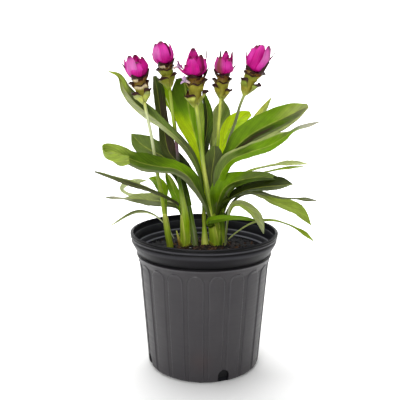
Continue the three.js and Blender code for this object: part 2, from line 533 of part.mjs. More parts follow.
function headAxis({ foot, up, size }) {
  const axis = { foot: vec(foot), up: vec(up).normalize(), size };
  axis.side = new THREE.Vector3(0, -1, 0).cross(axis.up).normalize();
  axis.front = axis.up.clone().cross(axis.side);
  return axis;
}

const scaled = (list, k) => list.map(([r, h]) => [r * k, h * k]);

// The cone of bracts and the pink coma of one head.
function head(seat) {
  const axis = headAxis(seat);
  const grow = (angle, profile, spans, width, thickness) => scale(axis, rad(angle), scaled(profile, seat.size),
    spans.map((span, i) => span * seat.size * (i ? width : 1)), thickness);
  const bracts = seat.bracts.map(([angle, r, h]) => grow(angle,
    BRACT_FORM.map(([share, under]) => [share * r, Math.max(BRACT_LOWEST, h - under)]), BRACT_SPANS, 1,
    BRACT_THICKNESS));
  const calyx = seat.calyx.map(([angle, r, h]) => grow(angle,
    [CALYX_FOOT, [CALYX_BEND_SHARE * r, CALYX_BEND_HEIGHT], [r, h]], CALYX_SPANS, 1, BRACT_THICKNESS));
  const petals = seat.petals.map(([angle, midRadius, midHeight, tipRadius, tipHeight, width]) => {
    const ends = [[midRadius, midHeight], [tipRadius, tipHeight]];
    if (width < THIN_PETAL) return grow(angle, [PETAL_FOOT, ...ends], THIN_SPANS, width, COMA_THICKNESS);
    return grow(angle, [PETAL_FOOT, [PETAL_SHOULDER_SHARE * midRadius, PETAL_SHOULDER_HEIGHT], ...ends], PETAL_SPANS,
      width, COMA_THICKNESS);
  });
  return {
    cone: join([core(axis, scaled(BRACT_CORE, seat.size), CORE_SIDES), ...bracts, ...calyx]),
    coma: join([core(axis, scaled(COMA_CORE, seat.size), CORE_SIDES), ...petals]),
  };
}

// A small open flower that looks out between two bracts: a tube and three lobes.
const FLORET_TUBE = [[1.6, 0], [2.8, 10]];
const FLORET_LOBE = [[1.2, 7], [5, 11], [8.5, 12.5]];
const FLORET_SPANS = [1.4, 4, 1.2];
const FLORETS = {
  floret_middle: { foot: [-24.6, -18.4, 489], up: [-0.9, -0.35, 0.5] },
  floret_left_middle: { foot: [-52, 4, 512], up: [0.9, -0.4, 0.4] },
};

function floret(seat) {
  const axis = headAxis({ ...seat, size: 1 });
  const lobes = [0, 1, 2].map((i) => scale(axis, (2 * Math.PI * i) / 3, FLORET_LOBE, FLORET_SPANS, COMA_THICKNESS));
  return join([core(axis, FLORET_TUBE, 3), ...lobes]);
}

function geometryOf(solid) {
  const { numProp, vertProperties, triVerts } = solid.getMesh();
  const positions = new Float32Array(triVerts.length * 3);
  triVerts.forEach((v, i) => {
    for (let k = 0; k < 3; k += 1) positions[i * 3 + k] = vertProperties[v * numProp + k];
  });
  const geometry = new THREE.BufferGeometry();
  geometry.setAttribute('position', new THREE.BufferAttribute(positions, 3));
  geometry.computeVertexNormals();
  return geometry;
}

// The hole for a foot: straight along the first stretch of its path, a little wider and a little deeper than it.
function hole(path, radius) {
  const foot = vec(path[0]);
  const along = vec(path[1]).sub(foot).normalize();
  const side = new THREE.Vector3(0, -1, 0).cross(along).normalize();
  const front = along.clone().cross(side);
  return skin([-FIT, HOLE_LENGTH].map((h) => {
    const ring = [];
    for (let j = 0; j < HOLE_SIDES; j += 1) {
      const a = (2 * Math.PI * (j + 0.5)) / HOLE_SIDES;
      ring.push(foot.clone().addScaledVector(along, h).addScaledVector(side, (radius * HOLE_EASE + FIT) * Math.cos(a))
        .addScaledVector(front, (radius * HOLE_EASE + FIT) * Math.sin(a)));
    }
    return ring;
  }));
}

const group = new THREE.Group();
group.name = 'potted_curcuma';

function add(name, solid, color) {
  const mesh = new THREE.Mesh(geometryOf(solid), new THREE.MeshStandardMaterial({ color, side: THREE.DoubleSide }));
  mesh.name = name;
  group.add(mesh);
}

add('pot', pot, COLORS.pot);

// Soil, mounded to the middle, with a plain hole for the foot of each shoot.
const draw = random(SOIL_SEED);
const soilRing = (r, z, lump) => {
  const ring = [];
  for (let j = 0; j < ROUND_SEGMENTS; j += 1) {
    const a = (2 * Math.PI * j) / ROUND_SEGMENTS;
    ring.push(new THREE.Vector3(r * Math.cos(a), r * Math.sin(a), z + lump * (2 * draw() - 1)));
  }
  return ring;
};
const mound = (r) => SOIL_EDGE_Z
  + (SOIL_MIDDLE_Z - SOIL_EDGE_Z) * Math.cos((Math.PI / 2) * (r / SOIL_EDGE_RADIUS)) ** SOIL_MOUND_POWER;
const soilSides = CAVITY_PROFILE.filter(([, z]) => z <= SOIL_EDGE_Z)
  .map(([r, z]) => soilRing(r - SOIL_CLEARANCE, z + SOIL_CLEARANCE, 0));
const soilTop = [...SOIL_RINGS].reverse().map((r) => soilRing(r, mound(r), SOIL_LUMP));

const holes = [];
for (const [name, { stems, leaves }] of Object.entries(SHOOTS)) {
  const solids = [...stems.map(({ path, radii }) => stem(path, radii)), ...leaves.map((l) => leaf(l))];
  add(name, join(solids), COLORS.leaf);
  if (stems.length) holes.push(hole(stems[0].path, stems[0].radii[0]));
  else holes.push(hole(leaves[0].mid, LEAF_HOLE_WIDTHS * leaves[0].widths[0]));
}
add('soil', holes.reduce((solid, h) => solid.subtract(h), skin([...soilSides, ...soilTop])), COLORS.soil);

for (const [place, seat] of Object.entries(HEADS)) {
  const { cone, coma } = head(seat);
  add(`bracts_${place}`, cone, COLORS.bract);
  add(`coma_${place}`, coma, COLORS.coma);
}
for (const [name, seat] of Object.entries(FLORETS)) add(name, floret(seat), COLORS.floret);

export default group;
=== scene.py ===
import bpy
import numpy as np
from mathutils import Matrix


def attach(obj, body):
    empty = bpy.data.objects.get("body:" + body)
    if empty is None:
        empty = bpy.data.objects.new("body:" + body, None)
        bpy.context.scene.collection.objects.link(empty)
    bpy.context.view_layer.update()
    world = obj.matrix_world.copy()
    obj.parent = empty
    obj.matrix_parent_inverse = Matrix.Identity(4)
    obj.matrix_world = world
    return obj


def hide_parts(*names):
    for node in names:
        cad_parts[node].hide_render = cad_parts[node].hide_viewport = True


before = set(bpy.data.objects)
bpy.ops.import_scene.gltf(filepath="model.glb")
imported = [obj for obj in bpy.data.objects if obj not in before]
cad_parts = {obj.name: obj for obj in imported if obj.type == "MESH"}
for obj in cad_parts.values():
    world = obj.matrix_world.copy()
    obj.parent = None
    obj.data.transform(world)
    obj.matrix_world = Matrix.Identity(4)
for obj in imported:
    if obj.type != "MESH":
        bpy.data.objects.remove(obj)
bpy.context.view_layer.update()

MM = 0.001
TURN = 2 * np.pi

# Plant colours, sRGB.
TONES = {
    # Leaves: full-grown in good light, in shade, waxy, dull, pale undersides, young with the light behind.
    "fresh": "#6e9404", "bright": "#8aac06", "deep": "#4c6804", "shade": "#384a08", "dusk": "#293404",
    "moss": "#687c34", "sage": "#7e875c", "grey": "#666f44", "slate": "#505a2c", "pale": "#a2ad68",
    "mist": "#c2ca9c", "lime": "#b8d000", "light": "#98ac44",
    # Dark brown for dried scales and for painted shade in leaf folds, dried tips, and stems with their
    # reddish feet and papery sheaths.
    "umber": "#3c3320", "ash": "#525438", "dry": "#aaa99a", "stalk": "#869c24", "straw": "#bfc65a",
    "olive": "#7a7e18", "plum": "#6a4a5a", "blush": "#6a4630", "husk": "#74521e", "bark": "#3a2216",
    # Bracts: the pouch, its pale inside and its dark lip.
    "pouch": "#948e2c", "pouch_green": "#868c2c", "lemon": "#a8a018", "cream": "#dcc8a0", "tan": "#8c6e38",
    "rust": "#5e3216", "maroon": "#351510",
    # Petals from the lightest to the darkest, their blotches and dried tips, and the open flowers.
    "rose_pale": "#e274c2", "rose_light": "#d83caa", "rose": "#c8128a", "magenta": "#a6026a",
    "berry": "#80044e", "wine": "#6c0c34", "olive_brown": "#84502e", "tip": "#54302c", "lilac": "#dcc2e4",
    "violet": "#9a78b8",
}


def linear(code):
    """An sRGB hex colour turned to linear light: the 2.4 power curve with its straight foot."""
    c = np.array([int(code[i:i + 2], 16) for i in (1, 3, 5)]) / 255
    c = np.where(c <= 0.04045, c / 12.92, ((c + 0.055) / 1.055) ** 2.4)
    return np.append(c, 1.0)


def mix(a, b, share):
    """From a to b by a share for each point; a and b are colours or arrays of them."""
    share = np.clip(share, 0, 1)[..., None]
    return a * (1 - share) + b * share


def smooth(low, high, x):
    """0 up to low, 1 from high on and a smooth cubic between. With low above high it falls as x grows."""
    s = np.clip((x - low) / (high - low), 0, 1)
    return s * s * (3 - 2 * s)


def unit(v):
    return v / np.linalg.norm(v, axis=-1, keepdims=True)


# Curves and lists

def eased(values, t):
    """A list spread evenly over 0 to 1, read along cubics that never leave the range of two neighbours."""
    v = np.asarray(values, float)
    t = np.asarray(t, float)
    step = np.diff(v, axis=0)
    same = step[:-1] * step[1:] > 0
    both = np.where(same, step[:-1] + step[1:], 1)
    slope = np.zeros_like(v)
    slope[1:-1] = np.where(same, 2 * step[:-1] * step[1:] / both, 0)
    slope[0] = step[0]
    slope[-1] = step[-1]
    at = np.clip(t, 0, 1) * (len(v) - 1)
    k = np.minimum(at.astype(int), len(v) - 2)
    x = at - k
    if v.ndim > 1:
        x = x[..., None]
    rise = x * x * (3 - 2 * x)
    bend = slope[k] * x * (1 - x) ** 2 - slope[k + 1] * x * x * (1 - x)
    return v[k] * (1 - rise) + v[k + 1] * rise + bend


def shades(names, t):
    """The tones named in a text, spread evenly over 0 to 1."""
    return eased([linear(TONES[name]) for name in names.split()], t)


def path_through(points):
    """A centripetal Catmull-Rom curve through points in mm. Returns its length and a function that gives the
    place and heading at a share of it."""
    p = np.asarray(points, float) * MM
    p = np.vstack([2 * p[0] - p[1], p, 2 * p[-1] - p[-2]])
    gap = np.linalg.norm(np.diff(p, axis=0), axis=1) ** 0.5
    x = np.linspace(0, 1, 40, endpoint=False)[:, None]
    runs = []
    for i in range(1, len(p) - 2):
        a, b, c, d = p[i - 1:i + 3]
        g0, g1, g2 = gap[i - 1:i + 2]
        out = g1 * ((b - a) / g0 - (c - a) / (g0 + g1) + (c - b) / g1)
        into = g1 * ((c - b) / g1 - (d - b) / (g1 + g2) + (d - c) / g2)
        rise = x * x * (3 - 2 * x)
        runs.append(b * (1 - rise) + c * rise + out * x * (1 - x) ** 2 - into * x * x * (1 - x))
    dense = np.vstack(runs + [p[-2:-1]])
    lengths = np.append(0, np.cumsum(np.linalg.norm(np.diff(dense, axis=0), axis=1)))
    heading = unit(np.gradient(dense, axis=0))

    def at(t):
        s = np.clip(t, 0, 1) * lengths[-1]
        place, along = (np.stack([np.interp(s, lengths, values[:, k]) for k in range(3)], -1)
                        for values in (dense, heading))
        return place, unit(along)

    return lengths[-1], at


def bumps(places, size, seed):
    """A smooth uneven field of about -1 to 1: twelve sine waves of about that size in random directions."""
    draw = np.random.default_rng(seed)
    ways = unit(draw.normal(size=(12, 3))) * (TURN / size) * draw.uniform(0.6, 1.5, (12, 1))
    return np.sin(places @ ways.T + draw.uniform(0, TURN, 12)).mean(-1) * 1.8


def polar(r, a, z):
    """Places at a radius, an angle and a height."""
    return np.stack(np.broadcast_arrays(r * np.cos(a), r * np.sin(a), z), -1)


def toward(side, front, a):
    """The direction at an angle round from the side to the front."""
    return side * np.cos(a)[..., None] + front * np.sin(a)[..., None]


def both_faces(upper, lower):
    """Rings round a thin strip: out along its upper face and back along its lower one."""
    return np.concatenate([upper, lower[:, ::-1]], 1)


# Meshes

def skin(rings):
    """A closed skin's vertices, its quads from ring to ring, and a fan of triangles over each end."""
    rows, around = rings.shape[:2]
    index = np.arange(rows * around).reshape(rows, around)
    nxt = np.roll(index, -1, 1)
    quads = np.stack([index[:-1], nxt[:-1], nxt[1:], index[1:]], -1).reshape(-1, 4)
    foot = rows * around
    fans = np.vstack([
        np.stack([nxt[0], index[0], np.full(around, foot)], -1),
        np.stack([index[-1], nxt[-1], np.full(around, foot + 1)], -1),
    ])
    points = np.vstack([rings.reshape(-1, 3), rings[0].mean(0), rings[-1].mean(0)])
    corners = np.vstack([quads[:, [0, 1, 2]], quads[:, [0, 2, 3]], fans])
    a, b, c = (points[corners[:, k]] for k in range(3))
    if np.einsum("ij,ij->i", a, np.cross(b, c)).sum() < 0:
        quads = quads[:, ::-1]
        fans = fans[:, ::-1]
    return points, quads, fans


def with_ends(values):
    """One value for each vertex of a skin: the rings' own, and the mean of each end ring for the fans."""
    flat = values.reshape(-1, values.shape[-1])
    return np.vstack([flat, values[0].mean(0), values[-1].mean(0)])


def mesh_of(name, skins, flat=False):
    """One mesh from several skins, smooth unless it is to have flat faces."""
    start = 0
    points, quads, fans = [], [], []
    for p, q, f in skins:
        points.append(p)
        quads.append(q + start)
        fans.append(f + start)
        start += len(p)
    mesh = bpy.data.meshes.new(name)
    faces = np.vstack(quads).tolist() + np.vstack(fans).tolist()
    mesh.from_pydata(np.vstack(points).tolist(), [], faces, shade_flat=flat)
    mesh.validate()
    return mesh


def paint(mesh, colours):
    """Stores a colour for each vertex, which the materials read."""
    mesh.attributes.new("tone", "FLOAT_COLOR", "POINT").data.foreach_set("color", colours.ravel())


def link(name, data):
    """A new object in the scene."""
    made = bpy.data.objects.new(name, data)
    bpy.context.scene.collection.objects.link(made)
    return made


def stand_for(made, material, node):
    """Gives an object its material and puts it in the place of a CAD node."""
    made.data.materials.append(material)
    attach(made, "root")
    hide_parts(node)


def piece(name, parts, material, node):
    """One closed piece from several parts, each with its rings, their colours and their vein places."""
    rings, colours, veins = zip(*parts)
    mesh = mesh_of(name, [skin(r) for r in rings])
    paint(mesh, np.vstack([with_ends(c) for c in colours]))
    lines = mesh.attributes.new("veins", "FLOAT_VECTOR", "POINT")
    lines.data.foreach_set("vector", np.vstack([with_ends(v) for v in veins]).ravel())
    stand_for(link(name, mesh), material, node)


# Materials, with sizes in metres

def put(tree, kind, inputs=(), **settings):
    """Adds a node, sets its settings, and fills its inputs with values or links."""
    made = tree.nodes.new(kind)
    for key, value in settings.items():
        setattr(made, key, value)
    for key, value in dict(inputs).items():
        if isinstance(value, bpy.types.NodeSocket):
            tree.links.new(value, made.inputs[key])
        else:
            made.inputs[key].default_value = value
    return made


def noise(tree, places, size, detail, roughness=0.5):
    """Noise whose largest lumps have about that size."""
    return put(tree, "ShaderNodeTexNoise", {
        "Vector": places, "Scale": 1 / size, "Detail": detail, "Roughness": roughness}).outputs["Fac"]


def ramp(tree, value, to_low, to_high, low=0.3, high=0.7):
    """A value stretched from one range to another; 0.3 to 0.7 is where noise mostly lies."""
    return put(tree, "ShaderNodeMapRange", {
        "Value": value, "From Min": low, "From Max": high, "To Min": to_low, "To Max": to_high}).outputs[0]


def tint(tree, share, a, b, way="MIX"):
    """Two colours mixed by a share, or multiplied."""
    return put(tree, "ShaderNodeMix", {0: share, 6: a, 7: b}, data_type="RGBA", blend_type=way).outputs[2]


def relief(tree, height, strength, depth):
    """A surface bumped by a height."""
    return put(tree, "ShaderNodeBump", {"Height": height, "Strength": strength, "Distance": depth}).outputs[0]


def surface(tree, colour, roughness, normal=None, **more):
    """A plain surface. More is its other inputs, with a low line for each space in their names."""
    inputs = {"Base Color": colour, "Roughness": roughness}
    if normal is not None:
        inputs["Normal"] = normal
    inputs.update({key.replace("_", " "): value for key, value in more.items()})
    return put(tree, "ShaderNodeBsdfPrincipled", inputs).outputs[0]


def blank(name):
    """A new material with an empty tree, and the places in metres on what it covers."""
    made = bpy.data.materials.new(name)
    made.use_nodes = True
    made.node_tree.nodes.clear()
    return made, made.node_tree, put(made.node_tree, "ShaderNodeTexCoord").outputs["Object"]


def stored(tree, name):
    """What the mesh stores at each vertex under a name."""
    return put(tree, "ShaderNodeAttribute", attribute_name=name).outputs


def finished(made, shader):
    """A material with its shader joined to its output."""
    put(made.node_tree, "ShaderNodeOutputMaterial", {"Surface": shader})
    return made


def blended(tree, share, first, second):
    """Two shaders mixed by a share."""
    return put(tree, "ShaderNodeMixShader", {0: share, 1: first, 2: second}).outputs[0]


def joined(tree, a, b, way="ADD"):
    """Two values added, or multiplied."""
    return put(tree, "ShaderNodeMath", {0: a, 1: b}, operation=way).outputs[0]


MOTTLE = 0.014  # size of the soft mottling
MOTTLE_SHADES = (0.88, 1.1)
GLOSS_SPREAD = 0.07  # the mottling makes the surface this much smoother and rougher


def tissue(name, roughness, streak, depth, height, shine, through=0, glow=None):
    """Living plant tissue, painted by its tones, with streaks along its veins, a soft mottling and a waxy
    shine. A streak has a width and a height, and its depth is how far it lightens and darkens. A share of
    the light passes through, coloured by the glow."""
    made, tree, places = blank(name)
    streaks = noise(tree, stored(tree, "veins")["Vector"], streak, 3.0, 0.6)
    mottle = noise(tree, places, MOTTLE, 4.0, 0.55)
    shade = joined(
        tree, ramp(tree, streaks, 1 - depth, 1 + depth), ramp(tree, mottle, *MOTTLE_SHADES), "MULTIPLY")
    colour = tint(tree, 1.0, stored(tree, "tone")["Color"], shade, "MULTIPLY")
    normal = relief(tree, streaks, 0.6, height)
    gloss = ramp(tree, mottle, roughness - GLOSS_SPREAD, roughness + GLOSS_SPREAD)
    body = surface(tree, colour, gloss, normal, IOR=1.42, Specular_IOR_Level=shine)
    if not through:
        return finished(made, body)
    warm = tint(tree, 1.0, colour, glow, "MULTIPLY")
    light = put(tree, "ShaderNodeBsdfTranslucent", {"Color": warm, "Normal": normal})
    return finished(made, blended(tree, through, body, light.outputs[0]))


# Thin leaf with a soft waxy shine; light from behind turns it yellow-green.
leaf_blade = tissue("curcuma_leaf", 0.48, streak=0.0012, depth=0.14, height=0.00022, shine=0.22,
                    through=0.25, glow=(1.3, 1.3, 0.25, 1))
# Stem of rolled leaf sheaths, too thick for light to come through.
leaf_sheath = tissue("curcuma_stem", 0.45, streak=0.0014, depth=0.16, height=0.0002, shine=0.3)
# Pouched bract, leathery and slightly dull.
bract_skin = tissue("curcuma_bract", 0.5, streak=0.0012, depth=0.16, height=0.0002, shine=0.3,
                    through=0.12, glow=(1.2, 1.1, 0.5, 1))
# Petal of the coma: thin pink skin that glows where light passes.
coma_skin = tissue("curcuma_coma", 0.5, streak=0.0011, depth=0.14, height=0.00015, shine=0.2,
                   through=0.2, glow=(1.3, 0.6, 1.0, 1))


def moulded_polypropylene():
    """Black nursery-pot polypropylene, injection moulded: a satin skin with a faint orange peel, dust that
    greys it in patches, and rub marks in fine level rings. The collar is cleaner and shines less. The tone's
    alpha is the share of dusty body."""
    made, tree, places = blank("moulded_polypropylene")
    tone = stored(tree, "tone")
    dust = noise(tree, places, 0.045, 6.0, 0.65)
    flat = put(tree, "ShaderNodeMapping", {"Vector": places, "Scale": (0.04, 0.04, 1)}).outputs[0]
    rings = noise(tree, flat, 0.003, 2.0)
    peel = noise(tree, places, 0.0012, 2.0)
    grime = joined(tree, ramp(tree, dust, 0.0, 0.5, 0.42, 0.75), tone["Alpha"], "MULTIPLY")
    colour = tint(tree, grime, tone["Color"], linear("#343133"))
    normal = relief(tree, joined(tree, rings, peel), 0.25, 0.00015)
    body = surface(tree, colour, ramp(tree, rings, 0.38, 0.5), normal, IOR=1.49)
    collar = surface(tree, colour, 0.4, normal, IOR=1.49, Specular_IOR_Level=0.12)
    return finished(made, blended(tree, tone["Alpha"], collar, body))


def bark_and_peat():
    """Potting mix of peat and composted bark: dark brown, matt and crumbly."""
    made, tree, places = blank("bark_and_peat")
    crumb = noise(tree, places, 0.003, 8.0, 0.7)
    colour = tint(tree, 1.0, stored(tree, "tone")["Color"], ramp(tree, crumb, 0.5, 1.4), "MULTIPLY")
    normal = relief(tree, crumb, 0.9, 0.0012)
    return finished(made, surface(tree, colour, 0.9, normal, Specular_IOR_Level=0.3))


def studio_paper():
    """Seamless pale studio paper, matt, with a faint unevenness."""
    made, tree, places = blank("studio_paper")
    colour = tint(tree, noise(tree, places, 1 / 3, 2.0), linear("#f4f4f3"), linear("#f8f8f8"))
    return finished(made, surface(tree, colour, 0.9, Specular_IOR_Level=0.1))


# Leaves, in mm

RIB = 1.7  # thickness at the midrib
MARGIN = 0.7  # thickness at the margin
RIB_GROOVE = 1.3  # half width of the channel along the midrib
ROW = 2.2  # from one row across a leaf to the next
ROW_LIMITS = (50, 180)
COLUMNS = 33
VEIN_SLANT = 3.0  # how far a vein runs along the leaf for each step out from the rib
VEIN_SPACING = 12
PLEAT = 0.28  # height of the pleats between the veins
RIPPLE = 1.2  # height of the margins' long waves
FOOT_THICKNESS = 1.7  # of a leaf's foot, for each mm of its half width
FOOT_FOLD = 12  # degrees that the foot is folded more than the blade
VEIN_TINT = [1, 1, 0.6, 0]  # how much of a vein's lightness goes to red, green, blue and alpha


def blade(seed, mid, face, widths, left, right, under="slate grey", fold=18, bands=()):
    """A leaf along its midrib: each row is a shallow V across it, folded up from flat by so many degrees and
    as wide as the widths say, with the margins rippled by sines along it and both faces pleated along veins
    that leave the rib at a slant. Its foot closes to a channel. The tones of either half of its face and of
    its underside are spread evenly from foot to tip. A band is a stripe of a tone at a place across, as wide
    as stated, from one share of the length to another, fading to both sides."""
    length, at = path_through(mid)
    rows = int(np.clip(length / (ROW * MM), *ROW_LIMITS))
    t = np.linspace(0, 1, rows)[:, None]
    u = np.linspace(-1, 1, COLUMNS)[None, :]
    u = np.sign(u) * np.abs(u) ** 1.15
    place, along = at(t[:, 0])
    look = eased(face, t[:, 0])
    normal = unit(look - (look * along).sum(-1, keepdims=True) * along)
    across = np.cross(along, normal)
    w = eased(widths, t) * MM
    root = widths[0] * MM
    opened = np.minimum(1, np.clip((w - root) / (2 * root), 0, 1) + t * t)
    rib = (RIB + max(0, widths[0] * FOOT_THICKNESS - RIB) * (1 - opened)) * MM
    thick = rib + (MARGIN * MM - rib) * np.abs(u) ** 0.8
    angle = np.radians(fold + FOOT_FOLD * (1 - opened))
    phase = np.random.default_rng(seed).uniform(0, TURN, 4)
    fine = 0.07 * w * np.sin(TURN * (3.3 * t + 0.15 * u) + phase[0])
    fine = fine + 0.04 * w * np.sin(TURN * 7.1 * t + phase[1])
    long_wave = RIPPLE * MM * u * np.abs(u) * np.sin(TURN * 2 * t)
    ripple = opened * (long_wave + fine * u ** 4 * np.sin(phase[2] + 1.5 * u))
    lift = w * 1.12 * (np.sqrt(u * u + 0.012) - 0.11) * np.sin(angle) + ripple
    slant = (t * length - np.abs(u) * w * VEIN_SLANT) / (VEIN_SPACING * MM)
    pleat = PLEAT * MM * opened * smooth(0.02, 0.3, np.abs(u)) * np.sin(TURN * slant) * smooth(0, 8 * MM, w)
    groove = opened * np.exp(-(u * w / (RIB_GROOVE * MM)) ** 2)
    place, across, normal = place[:, None], across[:, None], normal[:, None]
    middle = place + across * (w * u * np.cos(angle))[..., None] + normal * (lift + pleat)[..., None]
    upper = middle + normal * (thick / 2 - 0.3 * MM * groove)[..., None]
    lower = middle - normal * (thick / 2 + 0.5 * MM * groove)[..., None]

    grown = smooth(0.1, 0.8, opened)
    lean = t + 0.03 * np.sin(5 * u + phase[3]) - 0.05 * np.abs(u)
    # Either half has its own tones; where one half is toned darker, that is painted shade on that side of the
    # fold.
    colour = mix(shades(left, lean), shades(right, lean), smooth(-0.07, 0.07, u + 0 * t))
    for centre, width, name, first, last in bands:
        stripe = np.exp(-((u - centre) / width) ** 4) * smooth(first - 0.05, first + 0.05, t)
        colour = mix(colour, linear(TONES[name]), stripe * (1 - smooth(last - 0.05, last + 0.05, t)))
    rib_tone = linear(TONES["straw"])
    colour = mix(colour, rib_tone, 0.4 * grown * np.exp(-(u / 0.045) ** 2))
    back = mix(shades(under, lean), rib_tone, 0.6 * grown * np.exp(-(u / 0.07) ** 2))
    lines = 0.1 * np.sin(TURN * slant + 2 * np.sin(9 * t)) + 0.07 * np.sin(TURN * 0.37 * slant + phase[1])
    veined = 1 + (lines * opened)[..., None] * VEIN_TINT
    vein = np.stack([slant * VEIN_SPACING * MM * 0.7, u * w * 0.3, t * length * 0.06 + 0 * u], -1)
    return both_faces(upper, lower), both_faces(colour * veined, back * veined), both_faces(vein, vein)
